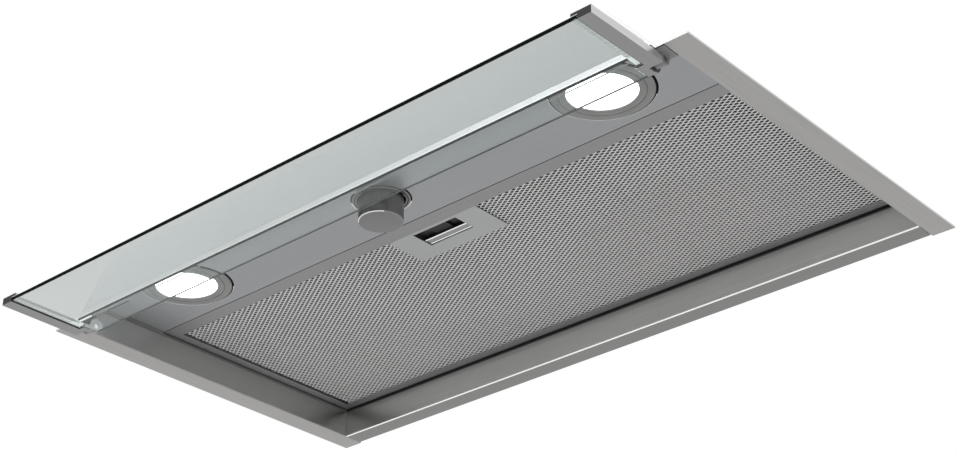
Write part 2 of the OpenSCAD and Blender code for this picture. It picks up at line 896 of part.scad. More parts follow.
// Leaf spring under the cup's ceiling that bears on the slider
module latch_leaf() {
  top = cup_top - fold_t;
  bottom = tongue_z + tongue_t;
  color("dimgray") seat() {
    box([-5, pull_front - 8, top - leaf_t], [5, pull_front - 2, top]);
    box([-5, pull_front - 2 - leaf_t, bottom], [5, pull_front - 2, top]);
    box([-5, pull_front - 2 - leaf_t, bottom], [5, pull_front + 2, bottom + leaf_t]);
  }
}

// Outline of the glass: full width in front, notched beside the knuckles
module glass_outline() {
  front = -visor_reach + 0.2;
  notch = arm_front - fit;
  narrow = arm_in - fit;
  polygon([
    [-glass_half, front], [glass_half, front], [glass_half, notch],
    [narrow, notch], [narrow, glass_back], [-narrow, glass_back],
    [-narrow, notch], [-glass_half, notch],
  ]);
}

module visor_glass() {
  color("lightcyan", 0.4) seat() translate([0, 0, glass_z])
    linear_extrude(glass_t) glass_outline();
}

// Side bar: rebate for the glass, a rounded nose at the rear, and beside the
// glass an arm that ends in a round knuckle with the pin's bore
module visor_bar(s) {
  side(s) {
    along_x(bar_in, bar_out) difference() {
      translate([-visor_reach, visor_z]) square([visor_reach + bar_back, bar_h]);
      translate([bar_back - bar_nose_r, bar_top - bar_nose_r]) difference() {
        square(bar_nose_r + 1);
        circle(bar_nose_r);
      }
    }
    box(
      [bar_in - ledge_w, -visor_reach, glass_top],
      [bar_in + eps, arm_front - fit, bar_top]
    );
    along_x(arm_in, bar_in + eps) difference() {
      union() {
        translate([hinge_y, -hinge_drop]) circle(knuckle_r);
        translate([arm_front, visor_z]) square([bar_back - arm_front, bar_h]);
        translate([bar_back - 1, visor_z + fit])
          square([hinge_y - bar_back + 1, bar_h - fit]);
      }
      translate([hinge_y, -hinge_drop]) circle(pin_d / 2 + run);
    }
  }
}

module visor_bar_left() {
  color("gray") seat() visor_bar(-1);
}

module visor_bar_right() {
  color("gray") seat() visor_bar(1);
}

module visor_seal(s) {
  side(s) box([glass_half, -visor_reach + 0.2, glass_z], [bar_in, arm_front - fit, glass_top]);
}

module visor_seal_left() {
  color("black") seat() visor_seal(-1);
}

module visor_seal_right() {
  color("black") seat() visor_seal(1);
}

// Wedge in the front corner with a lug that reaches down to the pin
module hinge_block(s) {
  wedge_top = (block_back - brow_t) / brow_lean;
  side(s) difference() {
    union() {
      along_x(block_in, block_out)
        polygon([[brow_t, 0], [block_back, 0], [block_back, wedge_top]]);
      along_x(lug_in, lug_out) {
        translate([hinge_y, -hinge_drop]) circle(lug_r);
        translate([hinge_y - lug_r, -hinge_drop])
          square([2 * lug_r, hinge_drop + (hinge_y - lug_r - brow_t) / brow_lean]);
      }
    }
    along_x(lug_in - 1, lug_out + 1)
      translate([hinge_y, -hinge_drop]) circle(pin_d / 2);
  }
}

module hinge_block_left() {
  color("dimgray") seat() hinge_block(-1);
}

module hinge_block_right() {
  color("dimgray") seat() hinge_block(1);
}

module hinge_pins() {
  color("silver") seat() for (s = [-1, 1])
    side(s) along_x(arm_in + fit, lug_out - fit)
      translate([hinge_y, -hinge_drop]) circle(pin_d / 2);
}

// Floor plan of the scroll, its throat and the chamber under the outlet.
// The spiral's points are r(a) = scroll_r + scroll_growth * a / 360.
module scroll_plan(grow) {
  start = tongue_a + 2 * grow;
  throat_y = fan_y + spiral(tongue_a) * cos(tongue_a) - grow;
  top_y = fan_y + spiral(360) + grow;
  polygon(concat(
    [
      for (i = [0:48])
        let (a = start + (360 - start) * i / 48, r = spiral(a) + grow)
          [fan_x + r * sin(a), fan_y + r * cos(a)],
    ],
    [
      [chamber_x1 + grow, top_y], [chamber_x1 + grow, chamber_y0 - grow],
      [chamber_x0 - grow, chamber_y0 - grow], [chamber_x0 - grow, throat_y],
    ]
  ));
}

module blower_scroll() {
  color("slategray") seat() difference() {
    translate([0, 0, scroll_floor])
      linear_extrude(scroll_roof - scroll_floor) scroll_plan(scroll_wall);
    translate([0, 0, scroll_floor + scroll_wall])
      linear_extrude(scroll_h + 1) scroll_plan(0);
    translate([fan_x, fan_y, scroll_floor - 1]) cylinder(d = inlet_d, h = 4, $fn = 96);
  }
}

// Places of the three motor screws
module motor_screw_places() {
  for (a = [30:120:270])
    translate([fan_x + (motor_d / 2 - 6) * cos(a), fan_y + (motor_d / 2 - 6) * sin(a), 0])
      children();
}

module scroll_cover() {
  color("slategray") seat() difference() {
    translate([0, 0, scroll_roof]) linear_extrude(cover_t) scroll_plan(scroll_wall);
    translate([outlet_x, outlet_y, scroll_roof - 1])
      cylinder(r = collar_d / 2 + 0.2, h = cover_t + 2, $fn = 96);
    motor_screw_places() translate([0, 0, scroll_roof - 1])
      cylinder(d = screw_d + 2 * slip, h = cover_t + 2, $fn = 24);
  }
}

// Forward-curved blade as the band between two offset circles
module blade() {
  blade_r = 9;
  chord = wheel_d / 2 - blade_in_r - 1;
  translate([blade_in_r + 0.5, 0]) intersection() {
    translate([chord / 2, -blade_r + 2]) difference() {
      circle(blade_r + 0.4, $fn = 32);
      circle(blade_r - 0.4, $fn = 32);
    }
    translate([0, -3]) square([chord, 8]);
  }
}

// Fan wheel: blades between a back plate and a rim, with a cup round the motor
module fan_wheel() {
  r = wheel_d / 2;
  color("dimgray") seat() translate([fan_x, fan_y, fan_z]) difference() {
    union() {
      linear_extrude(wheel_h) for (i = [0:blades - 1])
        rotate(i * 360 / blades) blade();
      rotate_extrude($fn = 96) {
        translate([r - 3, 0]) square([3, rim_t]);
        translate([cup_r, wheel_h - rim_t]) square([r - cup_r, rim_t]);
        translate([cup_r, 4]) square([rim_t, wheel_h - 4]);
        translate([0, 4]) square([cup_r + rim_t, rim_t]);
        square([hub_r, 7]);
      }
    }
    translate([0, 0, 1.5]) cylinder(d = shaft_d, h = wheel_h, $fn = 48);
  }
}

// Motor body: plain can with a bearing boss towards the wheel
module motor() {
  color("darkslategray") seat() translate([fan_x, fan_y, motor_z]) difference() {
    union() {
      cylinder(d = motor_d, h = motor_h, $fn = 96);
      translate([0, 0, -2.5]) cylinder(r = 9, h = 3);
    }
    translate([0, 0, -3]) cylinder(d = shaft_d + 2 * run, h = motor_h - 1, $fn = 48);
    for (a = [30:120:270])
      translate([(motor_d / 2 - 6) * cos(a), (motor_d / 2 - 6) * sin(a), motor_h - 6])
        cylinder(d = screw_d, h = 7, $fn = 24);
  }
}

module motor_shaft() {
  color("silver") seat() translate([fan_x, fan_y, fan_z + 1.5])
    cylinder(d = shaft_d, h = motor_z + motor_h - 4.5 - fan_z - 1.5, $fn = 48);
}

// Pan-head screw standing at the origin, head up
module screw(length) {
  cylinder(r = screw_d, h = 1.8, $fn = 24);
  translate([0, 0, -length]) cylinder(d = screw_d, h = length + eps, $fn = 24);
}

module motor_screws() {
  color("silver") seat() motor_screw_places()
    translate([0, 0, scroll_roof + cover_t]) screw(6);
}

// Folded walls over the blower, open below, with foot flanges on three sides
module motor_housing() {
  h = housing_half;
  color("silver") seat() difference() {
    union() {
      box([-h, housing_front, deck_top], [h, housing_back, housing_top - sheet_t]);
      box(
        [-h - foot_w, housing_front - foot_w, deck_top],
        [h + foot_w, housing_back, deck_top + sheet_t]
      );
    }
    box(
      [-h + sheet_t, housing_front + sheet_t, deck_top - 1],
      [h - sheet_t, housing_back - sheet_t, housing_top]
    );
    foot_screw_places() translate([0, 0, deck_top - 1])
      cylinder(d = screw_d + 2 * slip, h = 3, $fn = 24);
    translate([-h - 1, gland_y, gland_z]) rotate([0, 90, 0])
      cylinder(d = 2 * cable_bore_d + 2 * slip, h = 3, $fn = 48);
  }
}

// Roof of the housing with the hole for the outlet
module housing_roof() {
  color("silver") seat() difference() {
    box(
      [-housing_half, housing_front, housing_top - sheet_t],
      [housing_half, housing_back, housing_top]
    );
    translate([outlet_x, outlet_y, housing_top - 2])
      cylinder(r = collar_d / 2 + 0.2, h = 4, $fn = 96);
  }
}

// Outlet spigot: flange on the roof, seat ring for the flaps, holes for the pin
module outlet_collar() {
  r = collar_d / 2;
  color("black") seat() translate([outlet_x, outlet_y, 0]) difference() {
    rotate_extrude($fn = 96) {
      translate([collar_bore, scroll_roof])
        square([collar_wall, collar_top - scroll_roof]);
      translate([r - 0.2, housing_top])
        square([collar_flange_r - r + 0.2, 2]);
      translate([collar_bore - 2, flap_z - flap_t / 2 - 1.6 - slip])
        square([2.2, 1.6]);
    }
    translate([0, 0, flap_z]) rotate([90, 0, 0])
      cylinder(d = damper_pin_d, h = 3 * r, center = true, $fn = 32);
  }
}

module damper_pin() {
  color("silver") seat() translate([outlet_x, outlet_y, flap_z]) rotate([90, 0, 0])
    cylinder(d = damper_pin_d, h = collar_d - 1, center = true, $fn = 32);
}

// Half-disc flap on the +X side, with knuckles at the given places along Y
module damper_flap(places) {
  len = 16;
  difference() {
    union() {
      intersection() {
        translate([0, 0, -flap_t / 2]) cylinder(r = flap_r, h = flap_t, $fn = 96);
        box([knuckle_or + 0.5, -flap_r, -1], [flap_r, flap_r, 1]);
      }
      for (y = places) {
        translate([0, y + len / 2, 0]) rotate([90, 0, 0])
          cylinder(r = knuckle_or, h = len, $fn = 48);
        box([0, y - len / 2, -flap_t / 2], [knuckle_or + 1, y + len / 2, flap_t / 2]);
      }
    }
    rotate([90, 0, 0])
      cylinder(r = damper_pin_d / 2 + run, h = 3 * flap_r, center = true, $fn = 32);
  }
}

module damper_flap_left() {
  color("dimgray") seat() translate([outlet_x, outlet_y, flap_z])
    mirror([1, 0, 0]) damper_flap([-40, 10]);
}

module damper_flap_right() {
  color("dimgray") seat() translate([outlet_x, outlet_y, flap_z])
    damper_flap([-10, 40]);
}

// Open box for the electrics beside the scroll
module control_box() {
  w = box_wall;
  color("ivory") seat() difference() {
    box([box_x0, box_y0, deck_top], [box_x1, box_y1, box_top]);
    box([box_x0 + w, box_y0 + w, deck_top + w], [box_x1 - w, box_y1 - w, box_top + 1]);
    translate([box_x0 - 1, gland_y, gland_z]) rotate([0, 90, 0])
      cylinder(d = 1.5 * cable_bore_d, h = box_wall + 2, $fn = 48);
  }
}

// Lid with two tongues that grip the box's end walls
module control_box_lid() {
  w = box_wall;
  color("ivory") seat() {
    box([box_x0, box_y0, box_top], [box_x1, box_y1, box_top + w]);
    for (y = [box_y0 + w + slip, box_y1 - 2 * w - slip])
      box([box_x0 + w + slip, y, box_top - w], [box_x1 - w - slip, y + w, box_top + eps]);
  }
}

module control_board() {
  x0 = box_x0 + box_wall + 1;
  x1 = box_x1 - box_wall - 1;
  z0 = deck_top + box_wall + 3;
  color("darkgreen") seat() {
    box([x0, board_y0, z0], [x1, board_y1, z0 + 1.6]);
    for (x = [x0 + 3, x1 - 3], y = [board_y0 + 4, board_y1 - 4])
      translate([x, y, z0 - 3]) cylinder(r = 2, h = 3 + eps, $fn = 24);
    box([x0 + 5, board_y0 + 12, z0 + 1.6 - eps], [x0 + 17, board_y1 - 14, z0 + 11]);
    box([x1 - 15, board_y0 + 8, z0 + 1.6 - eps], [x1 - 5, board_y1 - 8, z0 + 8]);
  }
}

module run_capacitor() {
  color("white") seat()
    translate([
      (box_x0 + box_x1) / 2, box_y0 + 2 * box_wall,
      deck_top + box_wall + capacitor_d / 2,
    ])
      rotate([-90, 0, 0]) cylinder(d = capacitor_d, h = 26, $fn = 64);
}

// Mains inlet: threaded gland with a hexagonal cap on the housing's left wall
module cable_gland() {
  r = cable_bore_d / 2;
  reach = box_x0 + housing_half - fit;
  color("black") seat() translate([-housing_half, gland_y, gland_z]) rotate([0, 90, 0])
    difference() {
      union() {
        translate([0, 0, -3]) cylinder(r = 2 * r + 3, h = 3, $fn = 6);
        translate([0, 0, -11]) cylinder(r1 = r + 2, r2 = 2 * r + 1, h = 8, $fn = 48);
        cylinder(r = 2 * r, h = reach, $fn = 48);
      }
      translate([0, 0, -12]) cylinder(r = r, h = reach + 13, $fn = 48);
    }
}

// Sprung clips on the tray walls that bite into the cabinet's sides
module cabinet_clips() {
  color("silver") seat() for (s = [-1, 1], y = [clip_front, clip_front + clip_pitch])
    side(s) translate([outer_half, y + clip_w, 0]) rotate([90, 0, 0]) linear_extrude(clip_w)
      polygon([
        [0, 20], [0.8, 20], [5.6, 10], [2, 4], [1.3, 4.4], [4.6, 10],
        [0.8, 17.8], [0.8, 8], [0, 8],
      ]);
}

module housing_screws() {
  color("silver") seat() foot_screw_places()
    translate([0, 0, deck_top + sheet_t]) screw(5);
}

side_rail_left();
side_rail_right();
rear_rail();
front_lip();
front_trim();
canopy_front();
canopy_flank_left();
canopy_flank_right();
canopy_rear();
canopy_deck();
control_panel();
lamp_bezel_left();
lamp_bezel_right();
lamp_lens_left();
lamp_lens_right();
lamp_body_left();
lamp_body_right();
led_board_left();
led_board_right();
knob();
knob_ring();
switch_shaft();
rotary_switch();
switch_bracket();
filter_frame();
filter_face_mesh();
filter_core();
filter_back_mesh();
filter_tabs();
handle_plate();
latch_slider();
latch_leaf();
visor_glass();
visor_bar_left();
visor_bar_right();
visor_seal_left();
visor_seal_right();
hinge_block_left();
hinge_block_right();
hinge_pins();
blower_scroll();
scroll_cover();
fan_wheel();
motor();
motor_shaft();
motor_screws();
motor_housing();
housing_roof();
outlet_collar();
damper_flap_left();
damper_flap_right();
damper_pin();
control_box();
control_box_lid();
control_board();
run_capacitor();
cable_gland();
cabinet_clips();
housing_screws();
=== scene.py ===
import json
import math

import bmesh
import bpy
import numpy as np
from mathutils import Matrix, Vector

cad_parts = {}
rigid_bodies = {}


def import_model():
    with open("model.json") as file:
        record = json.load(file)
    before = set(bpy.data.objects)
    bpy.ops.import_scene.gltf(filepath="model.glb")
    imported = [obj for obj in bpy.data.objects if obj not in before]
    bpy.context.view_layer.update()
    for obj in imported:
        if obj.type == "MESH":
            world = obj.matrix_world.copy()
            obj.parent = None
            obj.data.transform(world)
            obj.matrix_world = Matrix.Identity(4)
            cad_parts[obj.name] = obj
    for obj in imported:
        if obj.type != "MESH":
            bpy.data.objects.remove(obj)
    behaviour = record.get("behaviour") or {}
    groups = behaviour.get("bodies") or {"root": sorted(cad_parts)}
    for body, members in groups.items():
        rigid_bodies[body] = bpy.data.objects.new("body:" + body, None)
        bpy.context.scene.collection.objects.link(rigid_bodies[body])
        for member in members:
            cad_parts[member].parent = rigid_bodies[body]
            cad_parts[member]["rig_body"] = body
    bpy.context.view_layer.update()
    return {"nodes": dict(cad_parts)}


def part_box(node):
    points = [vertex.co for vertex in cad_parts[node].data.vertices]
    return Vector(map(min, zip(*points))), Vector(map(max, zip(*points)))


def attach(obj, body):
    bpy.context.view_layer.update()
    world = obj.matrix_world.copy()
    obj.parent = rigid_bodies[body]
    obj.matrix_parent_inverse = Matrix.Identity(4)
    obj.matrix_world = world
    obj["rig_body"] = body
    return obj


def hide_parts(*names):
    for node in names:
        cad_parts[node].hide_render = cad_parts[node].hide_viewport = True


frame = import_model()
nodes = frame["nodes"]
scene = bpy.context.scene

# Camera. It stands below the hood and in front of its right end, as for the
# photograph, and looks up to the left; the lens is long, so lines converge little.
turn, lift, tip = -0.7243, 0.5089, -0.0024
camera_at = (0.80539, -1.06207, -0.63418)
focal_pixels, image_width, sensor_width = 1876.4, 957, 36
ahead = np.array([math.sin(turn) * math.cos(lift), math.cos(turn) * math.cos(lift), math.sin(lift)])
level = np.cross(ahead, [0, 0, 1])
level /= np.linalg.norm(level)
above = np.cross(level, ahead)
right = math.cos(tip) * level + math.sin(tip) * above
up = math.cos(tip) * above - math.sin(tip) * level
camera_data = bpy.data.cameras.new("camera")
camera_data.sensor_width = sensor_width
camera_data.lens = focal_pixels / image_width * sensor_width
camera_data.clip_end = 50
camera = bpy.data.objects.new("camera", camera_data)
scene.collection.objects.link(camera)
camera.matrix_world = Matrix((
    (right[0], up[0], -ahead[0], camera_at[0]),
    (right[1], up[1], -ahead[1], camera_at[1]),
    (right[2], up[2], -ahead[2], camera_at[2]),
    (0, 0, 0, 1),
))
scene.camera = camera
scene.view_settings.view_transform = "Standard"

# Room. A white world that metal and glass mirror at full white and that lights a
# touch dimmer, one soft lamp, and a pale floor as far below the hood as a kitchen
# floor lies, which is seen only from above.
world = bpy.data.worlds.new("white_room")
scene.world = world
world.use_nodes = True
wn, wl = world.node_tree.nodes, world.node_tree.links
wn.clear()
room_light = wn.new("ShaderNodeBackground")
room_light.inputs["Color"].default_value = (1, 1, 1, 1)
room_path = wn.new("ShaderNodeLightPath")
seen = wn.new("ShaderNodeMath")
seen.operation = "MAXIMUM"
wl.new(room_path.outputs["Is Camera Ray"], seen.inputs[0])
wl.new(room_path.outputs["Is Glossy Ray"], seen.inputs[1])
seen_through = wn.new("ShaderNodeMath")
seen_through.operation = "MAXIMUM"
wl.new(seen.outputs[0], seen_through.inputs[0])
wl.new(room_path.outputs["Is Transmission Ray"], seen_through.inputs[1])
room_level = wn.new("ShaderNodeMapRange")
room_level.inputs["To Min"].default_value = 0.96
room_level.inputs["To Max"].default_value = 1.0
wl.new(seen_through.outputs[0], room_level.inputs["Value"])
wl.new(room_level.outputs["Result"], room_light.inputs["Strength"])
room_out = wn.new("ShaderNodeOutputWorld")
wl.new(room_light.outputs[0], room_out.inputs["Surface"])
lamp_at, lamp_aim = Vector((-0.8, -1.2, 1.5)), Vector((0, -0.1, 0))
lamp_turn = (lamp_aim - lamp_at).normalized().to_track_quat("-Z", "Y")
lamp_data = bpy.data.lights.new("top_left", "AREA")
lamp_data.size = 1.0
lamp_data.energy = 8
lamp = bpy.data.objects.new("top_left", lamp_data)
scene.collection.objects.link(lamp)
lamp.matrix_world = Matrix.Translation(lamp_at) @ lamp_turn.to_matrix().to_4x4()
lamp.visible_camera = False


def material(name, metallic=0.0, roughness=0.5):
    """A new material with its Principled shader: (material, nodes, links, shader)."""
    made = bpy.data.materials.new(name)
    made.use_nodes = True
    tree = made.node_tree
    shader = tree.nodes["Principled BSDF"]
    shader.inputs["Metallic"].default_value = metallic
    shader.inputs["Roughness"].default_value = roughness
    return made, tree.nodes, tree.links, shader


def effect(name, inputs, outputs):
    """An empty shader node group with named sockets: (group, nodes, links, in, out)."""
    group = bpy.data.node_groups.new(name, "ShaderNodeTree")
    for label, kind, value in inputs:
        socket = group.interface.new_socket(label, in_out="INPUT", socket_type=kind)
        socket.default_value = value
    for label, kind in outputs:
        group.interface.new_socket(label, in_out="OUTPUT", socket_type=kind)
    gn = group.nodes
    return group, gn, group.links, gn.new("NodeGroupInput"), gn.new("NodeGroupOutput")


# Cloudy surface: a broad mottle between two colours, with a fine tooth for
# bump. It is shared by plastics, paint, castings and the floor.
mottle, gn, gl, g_in, g_out = effect(
    "mottled_surface",
    [
        ("Light", "NodeSocketColor", (0.8, 0.8, 0.8, 1)),
        ("Dark", "NodeSocketColor", (0.7, 0.7, 0.7, 1)),
        ("Cloud", "NodeSocketFloat", 20.0),
        ("Tooth", "NodeSocketFloat", 1500.0),
        ("Rough From", "NodeSocketFloat", 0.4),
        ("Rough To", "NodeSocketFloat", 0.55),
    ],
    [("Color", "NodeSocketColor"), ("Roughness", "NodeSocketFloat"), ("Height", "NodeSocketFloat")],
)
place = gn.new("ShaderNodeTexCoord")
cloud = gn.new("ShaderNodeTexNoise")
cloud.inputs["Detail"].default_value = 4
gl.new(place.outputs["Object"], cloud.inputs["Vector"])
gl.new(g_in.outputs["Cloud"], cloud.inputs["Scale"])
tooth = gn.new("ShaderNodeTexNoise")
tooth.inputs["Detail"].default_value = 2
gl.new(place.outputs["Object"], tooth.inputs["Vector"])
gl.new(g_in.outputs["Tooth"], tooth.inputs["Scale"])
blend_in = gn.new("ShaderNodeMapRange")
blend_in.inputs["From Min"].default_value = 0.35
blend_in.inputs["From Max"].default_value = 0.65
gl.new(cloud.outputs["Fac"], blend_in.inputs["Value"])
tones = gn.new("ShaderNodeMix")
tones.data_type = "RGBA"
gl.new(blend_in.outputs["Result"], tones.inputs["Factor"])
gl.new(g_in.outputs["Dark"], tones.inputs["A"])
gl.new(g_in.outputs["Light"], tones.inputs["B"])
gl.new(tones.outputs["Result"], g_out.inputs["Color"])
rough = gn.new("ShaderNodeMapRange")
gl.new(tooth.outputs["Fac"], rough.inputs["Value"])
gl.new(g_in.outputs["Rough From"], rough.inputs["To Min"])
gl.new(g_in.outputs["Rough To"], rough.inputs["To Max"])
gl.new(rough.outputs["Result"], g_out.inputs["Roughness"])
gl.new(tooth.outputs["Fac"], g_out.inputs["Height"])


def linear(grey):
    """An sRGB value from 0 to 255, or three of them, as linear colour with alpha."""
    values = [grey] * 3 if isinstance(grey, (int, float)) else grey
    parts = [(v / 255 / 12.92 if v < 10.3 else ((v / 255 + 0.055) / 1.055) ** 2.4) for v in values]
    return (*parts, 1.0)


floor_half, floor_z = 4, -1.25
floor_signs = ((-1, -1), (1, -1), (1, 1), (-1, 1))
floor_corners = [(floor_half * i, floor_half * j, floor_z) for i, j in floor_signs]
floor_mesh = bpy.data.meshes.new("floor")
floor_mesh.from_pydata(floor_corners, [], [(0, 1, 2, 3)])
floor = bpy.data.objects.new("floor", floor_mesh)
scene.collection.objects.link(floor)
floor_paint, fn, fl, floor_shader = material("pale_floor", 0.0, 0.75)
floor_look = fn.new("ShaderNodeGroup")
floor_look.node_tree = mottle
floor_look.inputs["Light"].default_value = linear(247)
floor_look.inputs["Dark"].default_value = linear(244)
floor_look.inputs["Cloud"].default_value = 1.5
fl.new(floor_look.outputs["Color"], floor_shader.inputs["Base Color"])
floor_side = fn.new("ShaderNodeNewGeometry")
floor_open = fn.new("ShaderNodeBsdfTransparent")
floor_both = fn.new("ShaderNodeMixShader")
fl.new(floor_side.outputs["Backfacing"], floor_both.inputs[0])
fl.new(floor_shader.outputs[0], floor_both.inputs[1])
fl.new(floor_open.outputs[0], floor_both.inputs[2])
fl.new(floor_both.outputs[0], fn["Material Output"].inputs["Surface"])
floor.data.materials.append(floor_paint)

# Tray rails. Two side rails and a rear rail, folded from brushed steel sheet:
# a flange that lies under the cabinet, a rounded bend and the tray's wall. Their
# tones carry painted light: lighter walls, a darker rear flange as painted shade,
# and painted highlights on the side rails' arrises and the rear rail's bend.
brushed, gn, gl, g_in, g_out = effect(
    "brushed_grain",
    [
        ("Stretch", "NodeSocketVector", (20, 1500, 1500)),
        ("Light", "NodeSocketColor", (0.4, 0.4, 0.4, 1)),
        ("Dark", "NodeSocketColor", (0.3, 0.3, 0.3, 1)),
        ("Rough From", "NodeSocketFloat", 0.3),
        ("Rough To", "NodeSocketFloat", 0.42),
    ],
    [("Color", "NodeSocketColor"), ("Roughness", "NodeSocketFloat"), ("Height", "NodeSocketFloat")],
)
place = gn.new("ShaderNodeTexCoord")
drawn = gn.new("ShaderNodeMapping")
gl.new(place.outputs["Object"], drawn.inputs["Vector"])
gl.new(g_in.outputs["Stretch"], drawn.inputs["Scale"])
streak = gn.new("ShaderNodeTexNoise")
streak.inputs["Scale"].default_value = 1.0
streak.inputs["Detail"].default_value = 5
streak.inputs["Roughness"].default_value = 0.65
gl.new(drawn.outputs["Vector"], streak.inputs["Vector"])
sheen_cloud = gn.new("ShaderNodeTexNoise")
sheen_cloud.inputs["Scale"].default_value = 7
sheen_cloud.inputs["Detail"].default_value = 2
gl.new(place.outputs["Object"], sheen_cloud.inputs["Vector"])
both = gn.new("ShaderNodeMath")
both.operation = "MULTIPLY_ADD"
both.inputs[1].default_value = 0.35
gl.new(sheen_cloud.outputs["Fac"], both.inputs[0])
gl.new(streak.outputs["Fac"], both.inputs[2])
spread = gn.new("ShaderNodeMapRange")
spread.inputs["From Min"].default_value = 0.42
spread.inputs["From Max"].default_value = 0.93
gl.new(both.outputs[0], spread.inputs["Value"])
tones = gn.new("ShaderNodeMix")
tones.data_type = "RGBA"
gl.new(spread.outputs["Result"], tones.inputs["Factor"])
gl.new(g_in.outputs["Dark"], tones.inputs["A"])
gl.new(g_in.outputs["Light"], tones.inputs["B"])
gl.new(tones.outputs["Result"], g_out.inputs["Color"])
rough = gn.new("ShaderNodeMapRange")
gl.new(streak.outputs["Fac"], rough.inputs["Value"])
gl.new(g_in.outputs["Rough From"], rough.inputs["To Min"])
gl.new(g_in.outputs["Rough To"], rough.inputs["To Max"])
gl.new(rough.outputs["Result"], g_out.inputs["Roughness"])
gl.new(streak.outputs["Fac"], g_out.inputs["Height"])


def dress(mat_nodes, mat_links, shader, group, light, dark, rough, bump, scales):
    """Feeds a shader's colour, roughness and normal from a shared node group. Colours
    are sRGB from 0 to 255, and scales holds the group's own inputs by name."""
    look = mat_nodes.new("ShaderNodeGroup")
    look.node_tree = group
    look.inputs["Light"].default_value = linear(light)
    look.inputs["Dark"].default_value = linear(dark)
    look.inputs["Rough From"].default_value = rough[0]
    look.inputs["Rough To"].default_value = rough[1]
    for label, value in scales.items():
        look.inputs[label].default_value = value
    mat_links.new(look.outputs["Color"], shader.inputs["Base Color"])
    mat_links.new(look.outputs["Roughness"], shader.inputs["Roughness"])
    relief = mat_nodes.new("ShaderNodeBump")
    relief.inputs["Distance"].default_value = bump
    mat_links.new(look.outputs["Height"], relief.inputs["Height"])
    mat_links.new(relief.outputs["Normal"], shader.inputs["Normal"])


def brushed_metal(name, light, dark, stretch, rough=(0.3, 0.42), bump=0.00002, anisotropic=0.0):
    """Brushed metal: noise drawn out along the axis where stretch is small; sRGB colours."""
    made, mn, ml, shader = material(name, 1.0)
    shader.inputs["Anisotropic"].default_value = anisotropic
    dress(mn, ml, shader, brushed, light, dark, rough, bump, {"Stretch": stretch})
    return made


def eased(node, finish, width, segments=2, arris=None, faces=()):
    """A CAD node's solid with its arrises eased: doubles merged, flat faces joined and a
    bevel on edges sharper than 30 degrees. Each pair (test, material) in faces gives
    its material to the faces whose normal and centre pass the test, and the bevel
    takes the material arris. The piece rides with the node's body and stands for it."""
    sharp = math.radians(30)
    source = nodes[node]
    solid = source.data.copy()
    solid.name = node + "_eased"
    shape = bmesh.new()
    shape.from_mesh(solid)
    bmesh.ops.remove_doubles(shape, verts=shape.verts, dist=1e-6)
    bmesh.ops.dissolve_limit(shape, angle_limit=math.radians(0.5), verts=shape.verts, edges=shape.edges)
    shape.to_mesh(solid)
    shape.free()
    if "custom_normal" in solid.attributes:
        solid.attributes.remove(solid.attributes["custom_normal"])
    for face in solid.polygons:
        face.use_smooth = True
    solid.set_sharp_from_angle(angle=sharp)
    piece = bpy.data.objects.new(node + "_eased", solid)
    scene.collection.objects.link(piece)
    solid.materials.clear()
    solid.materials.append(finish)
    for test, other in faces:
        solid.materials.append(other)
        for face in solid.polygons:
            if test(face.normal, face.center):
                face.material_index = len(solid.materials) - 1
    ease = piece.modifiers.new("ease", "BEVEL")
    if arris:
        solid.materials.append(arris)
        ease.material = len(solid.materials) - 1
    ease.width = width
    ease.segments = segments
    ease.limit_method = "ANGLE"
    ease.angle_limit = sharp
    ease.harden_normals = True
    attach(piece, source["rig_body"])
    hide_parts(node)
    return piece


# The side rails' arris steel is lighter than their flange as a painted highlight.
side_steel = brushed_metal("side_rail_steel", (172, 171, 169), (152, 151, 150), (1600, 14, 1600))
side_arris_highlight = brushed_metal("side_rail_arris", (222, 222, 221), (208, 208, 207), (900, 14, 900), (0.2, 0.3))
# The walls of both rails are painted lighter than their flanges as painted light.
side_wall_painted_light = brushed_metal("side_wall_steel", (198, 198, 197), (186, 186, 185), (1600, 8, 1600), (0.26, 0.34))
# The rear flange is painted darker than the side flanges as painted shade.
rear_flange_painted_shade = brushed_metal("rear_rail_steel", (136, 136, 135), (124, 124, 123), (14, 1600, 1600))
rear_wall_painted_light = brushed_metal("rear_wall_steel", (197, 197, 196), (179, 179, 178), (8, 1600, 1600), (0.26, 0.34))
# Near-white steel for the rear rail's bend, a painted highlight.
bend_highlight = brushed_metal("bend_highlight", (255, 255, 255), (248, 248, 248), (14, 1600, 1600), (0.14, 0.22))


def upright(normal, centre):
    """True on the walls of a rail, which are painted lighter as painted light."""
    return abs(normal.z) < 0.2


def rolled(normal, centre):
    """True on the rounded bend of the rear rail that looks forward and down, which takes a painted highlight.
    """
    return normal.z < -0.2 and normal.y < -0.15


for node in ("side_rail_left", "side_rail_right"):
    eased(node, side_steel, 0.0005, arris=side_arris_highlight, faces=[(upright, side_wall_painted_light)])
rear_faces = [(upright, rear_wall_painted_light), (rolled, bend_highlight)]
eased("rear_rail", rear_flange_painted_shade, 0.0003, faces=rear_faces)

# Front edge. A lip that faces forward, its near-white steel a painted highlight,
# above a thin black strip, which closes the tray's front and shows as one dark line.
lip_steel = brushed_metal("lip_steel", (250, 251, 251), (240, 242, 242), (14, 1600, 1600), (0.25, 0.35))


def mottled(
    name, light, dark, cloud=20, tooth=1500, rough=(0.4, 0.55), bump=0.00003, metallic=0.0, shine=0.5
):
    """A plastic, paint or casting with the mottled surface; colours are sRGB from 0 to 255."""
    made, mn, ml, shader = material(name, metallic)
    shader.inputs["Specular IOR Level"].default_value = shine
    dress(mn, ml, shader, mottle, light, dark, rough, bump, {"Cloud": cloud, "Tooth": tooth})
    return made


def lip_underside_shade(normal, centre):
    """True on the underside of the lip, which is painted black like the strip as painted shade."""
    return normal.z < -0.7


black_strip = mottled("black_strip", (8, 9, 9), (4, 5, 5), 30, 2200, (0.7, 0.85), shine=0.05)
eased("front_lip", lip_steel, 0.0001, faces=[(lip_underside_shade, black_strip)])
eased("front_trim", black_strip, 0.00003)
